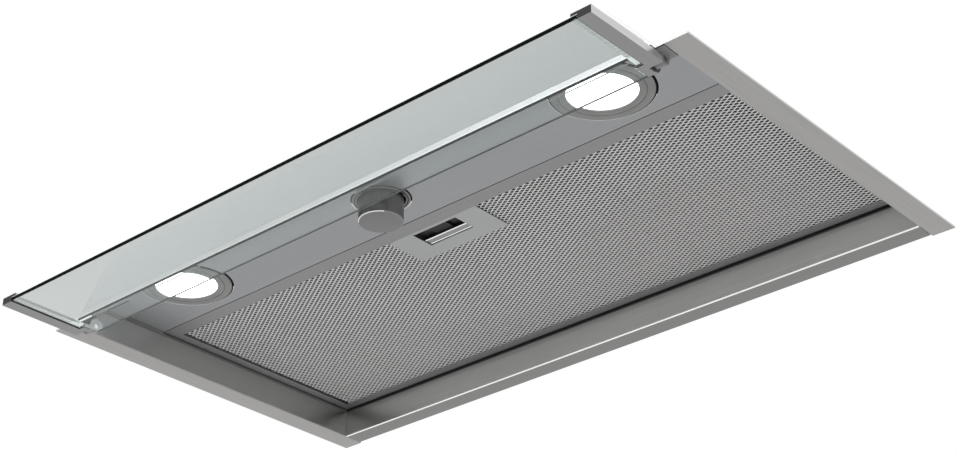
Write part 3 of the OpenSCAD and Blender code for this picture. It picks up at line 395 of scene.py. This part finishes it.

# Canopy. The folded and painted sheets above the tray, with the deck that carries
# the blower. Their lower hem is painted shade: grey below the panel's level, and a
# near-black band as painted shadow where it lies in the gap beside and behind the filter.
paint_light, paint_dark = (252, 253, 253), (247, 249, 249)
# The hem's painted shade: grey, and near black as painted shadow in the gap.
hem_painted_shade, gap_painted_shadow = linear((80, 80, 79)), linear((16, 16, 17))
canopy_paint = mottled("canopy_paint", paint_light, paint_dark, 9, 1800, (0.35, 0.5))
canopy_hem_painted_shade, hn, hl, hem_shader = material("canopy_hem_painted_shade", 0.0, 0.5)
hem_place = hn.new("ShaderNodeTexCoord")
hem_axes = hn.new("ShaderNodeSeparateXYZ")
hl.new(hem_place.outputs["Object"], hem_axes.inputs[0])
hem_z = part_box("control_panel")[0].z
hem_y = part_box("control_panel")[1].y
gap_below, gap_above = 0.0011, 0.002


def hem_step(socket, place):
    """A mask that steps from 0 to 1 where the socket's value passes the place."""
    step = hn.new("ShaderNodeMapRange")
    step.inputs["From Min"].default_value = place
    step.inputs["From Max"].default_value = place + 0.0001
    hl.new(hem_axes.outputs[socket], step.inputs["Value"])
    return step.outputs["Result"]


def hem_mix(mask, low_socket, high_socket):
    """A colour mix of two sockets, or colours, by the mask."""
    mixed = hn.new("ShaderNodeMix")
    mixed.data_type = "RGBA"
    hl.new(mask, mixed.inputs["Factor"])
    for name, value in (("A", low_socket), ("B", high_socket)):
        if isinstance(value, tuple):
            mixed.inputs[name].default_value = value
        else:
            hl.new(value, mixed.inputs[name])
    return mixed.outputs["Result"]


hem_look = hn.new("ShaderNodeGroup")
hem_look.node_tree = mottle
hem_look.inputs["Light"].default_value = linear(paint_light)
hem_look.inputs["Dark"].default_value = linear(paint_dark)
hem_look.inputs["Cloud"].default_value = 9
hem_look.inputs["Tooth"].default_value = 1800
hem_gap = hem_mix(hem_step("Y", hem_y), hem_painted_shade, gap_painted_shadow)
hem_low = hem_mix(hem_step("Z", hem_z - gap_below), hem_painted_shade, hem_gap)
hem_all = hem_mix(hem_step("Z", hem_z + gap_above), hem_low, hem_look.outputs["Color"])
hl.new(hem_all, hem_shader.inputs["Base Color"])
hl.new(hem_look.outputs["Roughness"], hem_shader.inputs["Roughness"])
eased("canopy_deck", canopy_paint, 0.0001)
for node in ("canopy_flank_left", "canopy_flank_right", "canopy_rear"):
    eased(node, canopy_hem_painted_shade, 0.0001)

# Control panel. A strip of brushed steel with the lamp and knob holes. The hem of
# the canopy's front sheet shows the same steel where it is seen from below.
panel_steel = brushed_metal("panel_steel", (156, 157, 159), (146, 147, 149), (8, 1700, 1700), (0.36, 0.46))
eased("control_panel", panel_steel, 0.0002)


def seen_hem(normal, centre):
    """True on the faces of the front sheet's hem that look down."""
    return normal.z < -0.3 and centre.z < hem_z + 0.004


eased("canopy_front", canopy_paint, 0.0001, faces=[(seen_hem, panel_steel)])

# Lamps. Each is a flat satin ring with a shallow groove, an opal diffuser in
# its middle, and a cast body with ribs and the light board above.
ring_satin = mottled("lamp_ring_satin", (120, 120, 119), (112, 112, 111), 60, 2600, (0.32, 0.42))
# Black for gaps and grooves, painted shadow; bright steel for painted highlights on lips.
gap_black_shadow = mottled("lamp_gap_black", (10, 10, 10), (6, 6, 6), 60, 2600, (0.6, 0.8), shine=0.05)
rim_highlight = brushed_metal("lamp_lip", (225, 225, 225), (205, 205, 205), (900, 900, 900), (0.12, 0.2))
opal, on, ol, opal_shader = material("lamp_opal", 0.0, 0.3)
opal_shader.inputs["Emission Strength"].default_value = 2.6
hot = on.new("ShaderNodeTexNoise")
hot.inputs["Scale"].default_value = 25
hot_place = on.new("ShaderNodeTexCoord")
ol.new(hot_place.outputs["Object"], hot.inputs["Vector"])
hot_tone = on.new("ShaderNodeMix")
hot_tone.data_type = "RGBA"
hot_tone.inputs["A"].default_value = (0.93, 0.95, 0.97, 1)
hot_tone.inputs["B"].default_value = (1, 1, 1, 1)
ol.new(hot.outputs["Fac"], hot_tone.inputs["Factor"])
ol.new(hot_tone.outputs["Result"], opal_shader.inputs["Base Color"])
ol.new(hot_tone.outputs["Result"], opal_shader.inputs["Emission Color"])
lamp_casting = mottled("lamp_casting", (128, 130, 132), (112, 114, 116), 60, 900, (0.45, 0.6), 0.0001, 1.0)
board_mask = mottled("board_mask", (38, 92, 62), (28, 76, 50), 120, 3000, (0.35, 0.5))
panel_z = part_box("control_panel")[0].z * 1000


def turned(name, profile, centre, finish, body, steps=160):
    """A turned piece: profile points (radius, height) in millimetres, carried round
    a vertical axis at centre (x, y); point = centre + radius * (cos a, sin a), height.
    A profile that starts off the axis is joined back to its first point."""
    rz = np.asarray(profile, float) / 1000
    angles = np.arange(steps) * 2 * np.pi / steps
    ring = np.stack([np.cos(angles), np.sin(angles)], 1)
    points = np.empty((len(rz), steps, 3))
    points[:, :, 0] = centre[0] + rz[:, :1] * ring[:, 0]
    points[:, :, 1] = centre[1] + rz[:, :1] * ring[:, 1]
    points[:, :, 2] = rz[:, 1:]
    return grid(name, points, finish, body, closed=rz[0, 0] > 0)


def grid(name, points, finish, body, closed=False):
    """A surface from a grid of points, rows by columns. The last column is joined to the
    first, and closed joins the last row to the first too. Coincident points are merged."""
    rows, cols = points.shape[:2]
    index = np.arange(rows * cols).reshape(rows, cols)
    index = np.concatenate([index, index[:, :1]], 1)
    if closed:
        index = np.concatenate([index, index[:1]], 0)
    quads = np.stack([index[:-1, :-1], index[:-1, 1:], index[1:, 1:], index[1:, :-1]], -1).reshape(-1, 4)
    return solid_of(name, points.reshape(-1, 3), quads, finish, body)


def quad_mesh(name, points, quads):
    """A mesh from an array of points and an array with four point numbers for each face."""
    mesh = bpy.data.meshes.new(name)
    mesh.vertices.add(len(points))
    mesh.vertices.foreach_set("co", np.asarray(points, np.float32).ravel())
    mesh.loops.add(quads.size)
    mesh.loops.foreach_set("vertex_index", quads.astype(np.int32).ravel())
    mesh.polygons.add(len(quads))
    mesh.polygons.foreach_set("loop_start", np.arange(0, quads.size, 4, dtype=np.int32))
    mesh.update(calc_edges=True)
    return mesh


def solid_of(name, points, quads, finish, body):
    """A piece from point and quad arrays, doubles merged and faces turned outwards.
    Edges sharper than 35 degrees stay sharp, and the rest is smooth."""
    mesh = quad_mesh(name, points, quads)
    shape = bmesh.new()
    shape.from_mesh(mesh)
    bmesh.ops.remove_doubles(shape, verts=shape.verts, dist=1e-6)
    bmesh.ops.dissolve_degenerate(shape, dist=1e-7, edges=shape.edges)
    bmesh.ops.recalc_face_normals(shape, faces=shape.faces)
    shape.to_mesh(mesh)
    shape.free()
    for face in mesh.polygons:
        face.use_smooth = True
    mesh.set_sharp_from_angle(angle=math.radians(35))
    mesh.materials.append(finish)
    piece = bpy.data.objects.new(name, mesh)
    scene.collection.objects.link(piece)
    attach(piece, body)
    return piece


def crescent(piece, centre, bright):
    """Gives the bright material, a painted highlight, to the side of a turned piece that
    lies away from the camera."""
    piece.data.materials.append(bright)
    for face in piece.data.polygons:
        away = (face.center.x - centre[0]) * ahead[0] + (face.center.y - centre[1]) * ahead[1]
        if away > 0.1 * math.hypot(face.center.x - centre[0], face.center.y - centre[1]):
            face.material_index = 1


def finished(node, finish):
    """Gives its material to a CAD node that is shown as it is."""
    nodes[node].data.materials.clear()
    nodes[node].data.materials.append(finish)


eye = 23.5
dome = [((eye - 0.1) * t, panel_z - 0.2 + 0.3 * t * t) for t in np.linspace(0, 1, 14)]
for side in ("left", "right"):
    low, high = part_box("lamp_bezel_" + side)
    centre = ((low.x + high.x) / 2, (low.y + high.y) / 2)
    rim = (high.x - low.x) * 500
    groove = (rim + eye) / 2 - 0.3
    dish = turned(
        "lamp_ring_" + side,
        [
            (rim - 1.7, panel_z), (rim - 1.7, panel_z + 2.9), (rim - 2.4, panel_z + 2.9),
            (rim - 2.4, panel_z + 1.1), (eye + 2, panel_z + 1.1), (eye + 2, panel_z + 2.1),
            (eye + 1, panel_z + 2.1), (eye + 1, panel_z + 0.12), (eye, panel_z + 0.12),
            (eye + 0.02, panel_z - 0.72), (eye + 0.12, panel_z - 0.9), (eye + 0.35, panel_z - 0.99),
            (groove - 0.5, panel_z - 0.82), (groove - 0.28, panel_z - 0.75), (groove - 0.1, panel_z - 0.3),
            (groove + 0.1, panel_z - 0.3), (groove + 0.28, panel_z - 0.75), (groove + 0.5, panel_z - 0.8),
            (rim - 0.6, panel_z - 0.78), (rim - 0.2, panel_z - 0.66), (rim - 0.04, panel_z - 0.4),
            (rim, panel_z),
        ],
        centre, ring_satin, "hood",
    )
    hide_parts("lamp_bezel_" + side)
    # Round the ring a lip that is black as painted shadow of the gap, with a painted highlight on its far
    # side.
    lip = turned(
        "lamp_lip_" + side,
        [
            (rim + 0.75, panel_z), (rim + 0.8, panel_z - 0.25), (rim + 0.95, panel_z - 0.42),
            (rim + 1.15, panel_z - 0.38), (rim + 1.4, panel_z - 0.12), (rim + 1.6, panel_z),
        ],
        centre, gap_black_shadow, "hood",
    )
    crescent(lip, centre, rim_highlight)
    # A thin black disc in the gap round the ring, painted shadow.
    gap = turned(
        "lamp_gap_" + side,
        [
            (rim - 0.2, panel_z - 0.02), (rim + 0.8, panel_z - 0.06),
            (rim + 0.8, panel_z), (rim - 0.2, panel_z),
        ],
        centre, gap_black_shadow, "hood",
    )
    low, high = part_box("lamp_lens_" + side)
    lens_r = (high.x - low.x) * 500
    lens = turned(
        "lamp_opal_" + side,
        dome + [(lens_r, panel_z + 0.12), (lens_r, panel_z + 2.1), (0, panel_z + 2.1)],
        centre, opal, "hood",
    )
    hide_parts("lamp_lens_" + side)
    eased("lamp_body_" + side, lamp_casting, 0.0003)
    finished("led_board_" + side, board_mask)

# Knob. Turned from steel bar with a bevelled end, in a grooved ring on the
# panel. Its shaft goes up to the rotary switch.
knob_side = brushed_metal(
    "knob_side", (158, 157, 157), (108, 107, 107), (2200, 2200, 14), (0.24, 0.36), anisotropic=0.6
)
knob_face = brushed_metal("knob_face", (130, 130, 131), (112, 112, 113), (14, 1900, 1900), (0.34, 0.44))
knob_bevel_highlight = brushed_metal("knob_bevel_highlight", (228, 228, 228), (214, 214, 214), (900, 900, 900), (0.12, 0.2))
ring_steel = brushed_metal(
    "knob_ring_steel", (118, 119, 119), (100, 101, 101), (700, 700, 700), (0.25, 0.35)
)
low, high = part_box("knob")
knob_at = ((low.x + high.x) / 2, (low.y + high.y) / 2)
knob_r = (high.x - low.x) * 500
knob_z0, knob_z1 = low.z * 1000, high.z * 1000
knob_piece = turned(
    "knob_turned",
    [
        (0, knob_z0), (knob_r - 0.75, knob_z0), (knob_r - 0.45, knob_z0 + 0.06),
        (knob_r - 0.1, knob_z0 + 0.38), (knob_r, knob_z0 + 0.6), (knob_r, knob_z1),
        (knob_r - 2, knob_z1), (knob_r - 2, knob_z0 + 4), (5.5, knob_z0 + 4),
        (5.5, knob_z1 - 1), (3.05, knob_z1 - 1), (3.05, knob_z0 + 5), (0, knob_z0 + 5),
    ],
    knob_at, knob_side, "knob_body", 192,
)
knob_piece.data.materials.append(knob_face)
knob_piece.data.materials.append(knob_bevel_highlight)
# The bevel's faces toward the front take a painted highlight.
for face in knob_piece.data.polygons:
    height = face.center.z * 1000 - knob_z0
    front_highlight = face.normal.y < -0.6 * math.hypot(face.normal.x, face.normal.y)
    if height < 0.02:
        face.material_index = 1
    elif height < 0.5 and front_highlight:
        face.material_index = 2
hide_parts("knob")
low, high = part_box("knob_ring")
ring_out = (high.x - low.x) * 500
ring_in = knob_r + 1.2
collar = turned(
    "knob_ring_turned",
    [
        (ring_in, panel_z), (ring_in, panel_z - 0.5), (ring_in + 0.3, panel_z - 0.78),
        (ring_in + 1.25, panel_z - 0.78), (ring_in + 1.45, panel_z - 0.5), (ring_in + 1.75, panel_z - 0.5),
        (ring_in + 1.95, panel_z - 0.78), (ring_out - 0.45, panel_z - 0.76),
        (ring_out - 0.1, panel_z - 0.45), (ring_out, panel_z),
    ],
    knob_at, ring_steel, "hood", 192,
)
# The groove in the ring is black as painted shade.
collar.data.materials.append(gap_black_shadow)
for face in collar.data.polygons:
    out = math.hypot(face.center.x - knob_at[0], face.center.y - knob_at[1]) * 1000
    if ring_in + 1.3 < out < ring_in + 1.9:
        face.material_index = 1
# Round the ring a lip that is black as painted shadow, with a painted highlight on its far side.
collar_lip = turned(
    "knob_ring_lip",
    [
        (ring_out - 0.05, panel_z), (ring_out, panel_z - 0.3), (ring_out + 0.3, panel_z - 0.45),
        (ring_out + 0.7, panel_z - 0.3), (ring_out + 0.9, panel_z),
    ],
    knob_at, gap_black_shadow, "hood", 192,
)
crescent(collar_lip, knob_at, rim_highlight)
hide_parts("knob_ring")
shaft_brass = brushed_metal("shaft_brass", (196, 170, 112), (176, 150, 96), (900, 900, 900), (0.2, 0.3))
switch_plastic = mottled("switch_plastic", (224, 222, 212), (214, 212, 202), 40, 2500, (0.4, 0.5))
zinc = mottled("zinc_plate", (186, 190, 194), (158, 163, 168), 45, 1200, (0.3, 0.5), 0.00003, 1.0)
finished("switch_shaft", shaft_brass)
eased("rotary_switch", switch_plastic, 0.0004)
eased("switch_bracket", zinc, 0.0002)

# Grease filter. A folded aluminium frame holds an expanded face mesh, a
# corrugated core and a back mesh; two hooks at the rear hang in the canopy.
filter_satin = brushed_metal(
    "filter_satin", (146, 146, 146), (134, 134, 134), (14, 1500, 1500), (0.38, 0.48)
)
mesh_alloy = brushed_metal("mesh_alloy", (232, 232, 231), (212, 212, 211), (300, 300, 300), (0.3, 0.42))
# The core is dark grey as painted shade, for the depth seen through the face mesh.
core_painted_shade = mottled("core_painted_shade", (84, 84, 84), (66, 66, 66), 400, 3000, (0.5, 0.7), 0.0001)
eased("filter_frame", filter_satin, 0.0003)
low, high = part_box("filter_face_mesh")
long_pitch, short_pitch = 6.27e-3, 3.604e-3
strand, gauge, lean = 1.15e-3, 0.45e-3, math.radians(22)
mesh_mid = low.z + 0.0004
cup_half, cup_rear = 0.0255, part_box("handle_plate")[1].y - 0.004


def strand_family(sense):
    """Strands of the expanded sheet that run one way: bars between the lattice's
    nodes (i * long, j * short), each from node to node by (sense * long / 2, short / 2).
    A bar's four corners are its half width and half gauge, turned by lean. Bars that
    would leave the mesh or lie over the finger cup are left out."""
    count_x = int((high.x - low.x) / long_pitch) + 2
    count_y = int((high.y - low.y) / (short_pitch / 2)) + 1
    j, i = np.mgrid[0:count_y, 0:count_x]
    start_x = low.x + i * long_pitch + (j % 2) * long_pitch / 2
    start_y = low.y + j * short_pitch / 2
    start = np.stack([start_x.ravel(), start_y.ravel(), np.full(i.size, mesh_mid)], 1)
    step = np.array([sense * long_pitch / 2, short_pitch / 2, 0])
    stop = start + step
    along = step / np.linalg.norm(step)
    across = np.cross([0, 0, 1], along)
    if across[1] < 0:
        across = -across
    wide = (across * math.cos(lean) + np.array([0, 0, 1]) * math.sin(lean)) * strand / 2
    thick = np.cross(along, wide / np.linalg.norm(wide)) * gauge / 2
    corners = np.array([wide + thick, wide - thick, -wide - thick, -wide + thick])
    middle = (start + stop) / 2
    inside = (
        (np.minimum(start[:, 0], stop[:, 0]) > low.x) & (np.maximum(start[:, 0], stop[:, 0]) < high.x)
        & (stop[:, 1] < high.y)
    )
    over_cup = (np.abs(middle[:, 0]) < cup_half) & (middle[:, 1] < cup_rear)
    keep = inside & ~over_cup
    ends = np.stack([start[keep], stop[keep]], 1)
    points = ends[:, :, None, :] + corners[None, None]
    base = np.arange(len(ends))[:, None, None] * 8
    bar_sides = np.array([[k, (k + 1) % 4, 4 + (k + 1) % 4, 4 + k] for k in range(4)])
    return points.reshape(-1, 3), (base + bar_sides[None]).reshape(-1, 4)


points_a, quads_a = strand_family(1)
points_b, quads_b = strand_family(-1)
weave_points = np.concatenate([points_a, points_b])
weave_quads = np.concatenate([quads_a, quads_b + len(points_a)])
weave_mesh = quad_mesh("face_mesh_strands", weave_points, weave_quads)
weave_mesh.materials.append(mesh_alloy)
weave = bpy.data.objects.new("face_mesh_strands", weave_mesh)
scene.collection.objects.link(weave)
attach(weave, "filter")
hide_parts("filter_face_mesh")
finished("filter_core", core_painted_shade)
finished("filter_back_mesh", mesh_alloy)
eased("filter_tabs", filter_satin, 0.0001)

# Handle. A plate in the filter's front edge with a finger cup painted dark as
# painted shade, and behind it the sprung pull bar that draws the latch tongue back.
# Each long edge of the bar carries a bead painted bright as a painted highlight: a
# half ellipse carried along x, its ends drawn to a point.
handle_satin = brushed_metal(
    "handle_satin", (168, 170, 170), (158, 160, 160), (14, 1500, 1500), (0.36, 0.46)
)
cup_shade = mottled("cup_shade", (52, 52, 52), (40, 40, 40), 80, 2600, (0.45, 0.6))
cup_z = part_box("handle_plate")[0].z + 0.0022


def in_cup(normal, centre):
    """True on the finger cup's faces, which lie above the plate's sheet."""
    return centre.z > cup_z


eased("handle_plate", handle_satin, 0.0002, faces=[(in_cup, cup_shade)])
pull_grey = brushed_metal("pull_grey", (150, 150, 150), (136, 136, 136), (14, 1200, 1200), (0.3, 0.4))
# Near-white steel for the beads, a painted highlight.
pull_highlight = brushed_metal("pull_highlight", (255, 255, 255), (248, 248, 248), (14, 1200, 1200), (0.14, 0.22))
tongue_painted_shade = mottled("tongue_painted_shade", (34, 34, 34), (24, 24, 24), 60, 2600, (0.4, 0.55), shine=0.2)
low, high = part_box("latch_slider")
pull_z = low.z
pull_depth = 0.0074
bead_half, bead_drop, bead_inset = 0.0007, 0.00027, 0.0003
angles = np.linspace(0, np.pi, 12)
reach = np.array([0, 1, 1, 0])[:, None]


def tongue(normal, centre):
    """True on the tongue's faces, which lie above the bar, and on all that look forward; these are painted
    dark as painted shade.
    """
    return centre.z > pull_z + 0.0009 or normal.y < -0.5


eased("latch_slider", pull_grey, 0.0002, faces=[(tongue, tongue_painted_shade)])
for end, middle in (("front", high.y - pull_depth + bead_half), ("rear", high.y - bead_half)):
    bead = np.empty((4, len(angles), 3))
    bead[:2, :, 0] = low.x + bead_inset
    bead[2:, :, 0] = high.x - bead_inset
    bead[:, :, 1] = middle - bead_half * np.cos(angles) * reach
    bead[:, :, 2] = low.z + 0.0001 - bead_drop * np.sin(angles) * reach
    lip = grid("pull_lip_" + end, bead, pull_highlight, "latch")
spring_steel = brushed_metal("spring_steel", (118, 118, 120), (102, 102, 104), (900, 900, 14), (0.25, 0.4))
eased("latch_leaf", spring_steel, 0.00008)

# Visor. A pane of toughened glass with ground edges, held between two aluminium
# bars with black seals. It is grey in front of the hood and clear over the strip.
# The underside of each bar's ledge over the pane is painted white and glows
# faintly, a painted light that keeps it as pale as the pane beside it.
pane, pn, pl, pane_shader = material("visor_pane", 0.0, 0.0)
pane_shader.inputs["Transmission Weight"].default_value = 1.0
pane_shader.inputs["IOR"].default_value = 1.5
pane_shader.inputs["Specular Tint"].default_value = (0.12, 0.12, 0.12, 1)
pane_place = pn.new("ShaderNodeTexCoord")
pane_axes = pn.new("ShaderNodeSeparateXYZ")
pl.new(pane_place.outputs["Object"], pane_axes.inputs[0])
# The grey darkens from left to right, with a faint cloud, as painted shade.
pane_cast = pn.new("ShaderNodeTexNoise")
pane_cast.inputs["Scale"].default_value = 3
pl.new(pane_place.outputs["Object"], pane_cast.inputs["Vector"])
pane_along = pn.new("ShaderNodeMath")
pane_along.operation = "MULTIPLY_ADD"
pane_along.inputs[1].default_value = 0.06
pl.new(pane_cast.outputs["Fac"], pane_along.inputs[0])
pl.new(pane_axes.outputs["X"], pane_along.inputs[2])
pane_shade = pn.new("ShaderNodeMapRange")
pane_shade.inputs["From Min"].default_value = -0.24
pane_shade.inputs["From Max"].default_value = 0.3
pl.new(pane_along.outputs[0], pane_shade.inputs["Value"])
pane_shade_gradient = pn.new("ShaderNodeMix")
pane_shade_gradient.data_type = "RGBA"
pane_shade_gradient.inputs["A"].default_value = (0.575, 0.605, 0.6, 1)
pane_shade_gradient.inputs["B"].default_value = (0.475, 0.505, 0.5, 1)
pl.new(pane_shade.outputs["Result"], pane_shade_gradient.inputs["Factor"])
pane_zone = pn.new("ShaderNodeMapRange")
zone_end, zone_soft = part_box("front_trim")[0].y - 0.0118, 0.001
pane_zone.inputs["From Min"].default_value = zone_end - zone_soft
pane_zone.inputs["From Max"].default_value = zone_end
pl.new(pane_axes.outputs["Y"], pane_zone.inputs["Value"])
pane_tone = pn.new("ShaderNodeMix")
pane_tone.data_type = "RGBA"
pane_tone.inputs["B"].default_value = (0.86, 0.92, 0.91, 1)
pl.new(pane_zone.outputs["Result"], pane_tone.inputs["Factor"])
pl.new(pane_shade_gradient.outputs["Result"], pane_tone.inputs["A"])
pl.new(pane_tone.outputs["Result"], pane_shader.inputs["Base Color"])
pane_path = pn.new("ShaderNodeLightPath")
pane_any = pn.new("ShaderNodeMath")
pane_any.operation = "MAXIMUM"
pl.new(pane_path.outputs["Is Shadow Ray"], pane_any.inputs[0])
pl.new(pane_path.outputs["Is Diffuse Ray"], pane_any.inputs[1])
pane_clear = pn.new("ShaderNodeBsdfTransparent")
pane_clear.inputs["Color"].default_value = (0.8, 0.83, 0.82, 1)
pane_both = pn.new("ShaderNodeMixShader")
pl.new(pane_any.outputs[0], pane_both.inputs[0])
pl.new(pane_shader.outputs[0], pane_both.inputs[1])
pl.new(pane_clear.outputs[0], pane_both.inputs[2])
pl.new(pane_both.outputs[0], pn["Material Output"].inputs["Surface"])
# The front edge is black and the rear edge grey as painted shade; the side edges keep the pale frost of
# ground glass.
front_edge_painted_shade = mottled("front_edge_painted_shade", (8, 11, 10), (4, 6, 6), 60, 2600, (0.7, 0.85), shine=0.05)
rear_edge_painted_shade = mottled("rear_edge_painted_shade", (96, 100, 100), (84, 88, 88), 60, 2600, (0.6, 0.75), shine=0.2)
frosted_edge = mottled("frosted_edge", (206, 212, 211), (196, 203, 202), 60, 2600, (0.5, 0.65))
glass = eased("visor_glass", pane, 0.0003, segments=1)
for edge in (front_edge_painted_shade, frosted_edge, rear_edge_painted_shade):
    glass.data.materials.append(edge)
for face in glass.data.polygons:
    if face.normal.y < -0.5:
        face.material_index = 1
    elif abs(face.normal.x) > 0.5:
        face.material_index = 2
    elif face.normal.y > 0.5:
        face.material_index = 3
# The bars' long sides are painted lighter than their undersides as painted light, and their arrises take a
# painted highlight.
bar_satin = brushed_metal("visor_bar_satin", (148, 148, 148), (136, 136, 136), (1500, 14, 1500), (0.3, 0.42))
bar_flank_painted_light = brushed_metal("visor_bar_flank", (206, 206, 205), (194, 194, 193), (1500, 14, 1500), (0.24, 0.34))
bar_end = mottled("visor_bar_end", (58, 58, 58), (46, 46, 46), 60, 2600, (0.35, 0.5), shine=0.1)
bar_arris_highlight = brushed_metal("visor_bar_arris", (244, 244, 244), (228, 228, 228), (900, 14, 900), (0.12, 0.2))
seal_rubber = mottled("seal_rubber", (10, 10, 10), (6, 6, 6), 60, 2600, (0.7, 0.85), shine=0.05)
ledge_painted_glow = mottled("ledge_painted_glow", (255, 255, 255), (250, 251, 251), 60, 2600, (0.5, 0.7))
ledge_glow_shader = ledge_painted_glow.node_tree.nodes["Principled BSDF"]
ledge_glow_shader.inputs["Emission Color"].default_value = (1, 1, 1, 1)
ledge_glow_shader.inputs["Emission Strength"].default_value = 0.3
ledge_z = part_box("visor_bar_left")[0].z + 0.002
long_faces_y = -0.3


def flank(normal, centre):
    """True on the bar's long sides, not on the knuckle behind them."""
    return abs(normal.x) > 0.7 and centre.y < long_faces_y


def nose(normal, centre):
    """True on the bar's front end."""
    return normal.y < -0.9


def ledge_under(normal, centre):
    """True on the underside of the ledge that lies over the pane, which is painted white and glows as painted
    light.
    """
    return normal.z < -0.9 and centre.z > ledge_z and centre.y < long_faces_y


bar_faces = [(flank, bar_flank_painted_light), (nose, bar_end), (ledge_under, ledge_painted_glow)]
for side in ("left", "right"):
    eased("visor_bar_" + side, bar_satin, 0.0007, arris=bar_arris_highlight, faces=bar_faces)
    eased("visor_seal_" + side, seal_rubber, 0.0001)

# Hinges. A dark moulded block in each front corner holds a steel pin, about
# which the visor's knuckle turns.
block_plastic = mottled("block_plastic", (124, 124, 125), (112, 112, 113), 60, 2200, (0.4, 0.55))
pin_steel = brushed_metal("pin_steel", (160, 161, 163), (140, 141, 143), (14, 1500, 1500), (0.18, 0.28))
for side in ("left", "right"):
    eased("hinge_block_" + side, block_plastic, 0.0003)
finished("hinge_pins", pin_steel)

# Blower. A moulded scroll with its cover, a bladed wheel on the motor's
# shaft, the motor under the cover, and a zinc-plated housing over it all.
blower_plastic = mottled("blower_plastic", (62, 65, 70), (52, 55, 60), 30, 1500, (0.4, 0.55))
wheel_plastic = mottled("wheel_plastic", (40, 40, 43), (32, 32, 35), 40, 2000, (0.35, 0.5))
motor_paint = mottled("motor_paint", (84, 86, 90), (70, 72, 76), 50, 1500, (0.35, 0.5))
eased("blower_scroll", blower_plastic, 0.0003)
eased("scroll_cover", blower_plastic, 0.0003)
finished("fan_wheel", wheel_plastic)
finished("motor", motor_paint)
finished("motor_shaft", pin_steel)
finished("motor_screws", zinc)
spangle, sn, sl, spangle_shader = material("galvanised_sheet", 1.0)
crystal = sn.new("ShaderNodeTexVoronoi")
crystal.inputs["Scale"].default_value = 85
crystal_place = sn.new("ShaderNodeTexCoord")
sl.new(crystal_place.outputs["Object"], crystal.inputs["Vector"])
crystal_grey = sn.new("ShaderNodeSeparateColor")
sl.new(crystal.outputs["Color"], crystal_grey.inputs["Color"])
crystal_tone = sn.new("ShaderNodeMix")
crystal_tone.data_type = "RGBA"
crystal_tone.inputs["A"].default_value = linear((166, 170, 174))
crystal_tone.inputs["B"].default_value = linear((196, 199, 202))
sl.new(crystal_grey.outputs[0], crystal_tone.inputs["Factor"])
sl.new(crystal_tone.outputs["Result"], spangle_shader.inputs["Base Color"])
crystal_rough = sn.new("ShaderNodeMapRange")
crystal_rough.inputs["To Min"].default_value = 0.28
crystal_rough.inputs["To Max"].default_value = 0.46
sl.new(crystal_grey.outputs[1], crystal_rough.inputs["Value"])
sl.new(crystal_rough.outputs["Result"], spangle_shader.inputs["Roughness"])
eased("motor_housing", spangle, 0.0001)
eased("housing_roof", spangle, 0.0001)
finished("housing_screws", zinc)

# Outlet. A moulded collar for the round duct, with two free flaps that lie on a
# seat ring and lift about one pin.
collar_black = mottled("collar_black", (34, 34, 36), (26, 26, 28), 40, 1800, (0.4, 0.55))
flap_black = mottled("flap_black", (44, 44, 46), (36, 36, 38), 40, 1800, (0.45, 0.6))
eased("outlet_collar", collar_black, 0.0004)
for side in ("left", "right"):
    eased("damper_flap_" + side, flap_black, 0.0002)
finished("damper_pin", pin_steel)

# Electrics. A moulded box with its lid, the control board and the run
# capacitor, and the gland in the housing's left wall.
capacitor_can = mottled("capacitor_can", (226, 226, 222), (218, 218, 214), 50, 2500, (0.2, 0.35))
eased("control_box", switch_plastic, 0.0004)
eased("control_box_lid", switch_plastic, 0.0003)
eased("cable_gland", collar_black, 0.0003)
finished("control_board", board_mask)
finished("run_capacitor", capacitor_can)

# Clips. Four sprung steel clips on the tray walls that bite into the
# cabinet's sides.
eased("cabinet_clips", spring_steel, 0.0001)
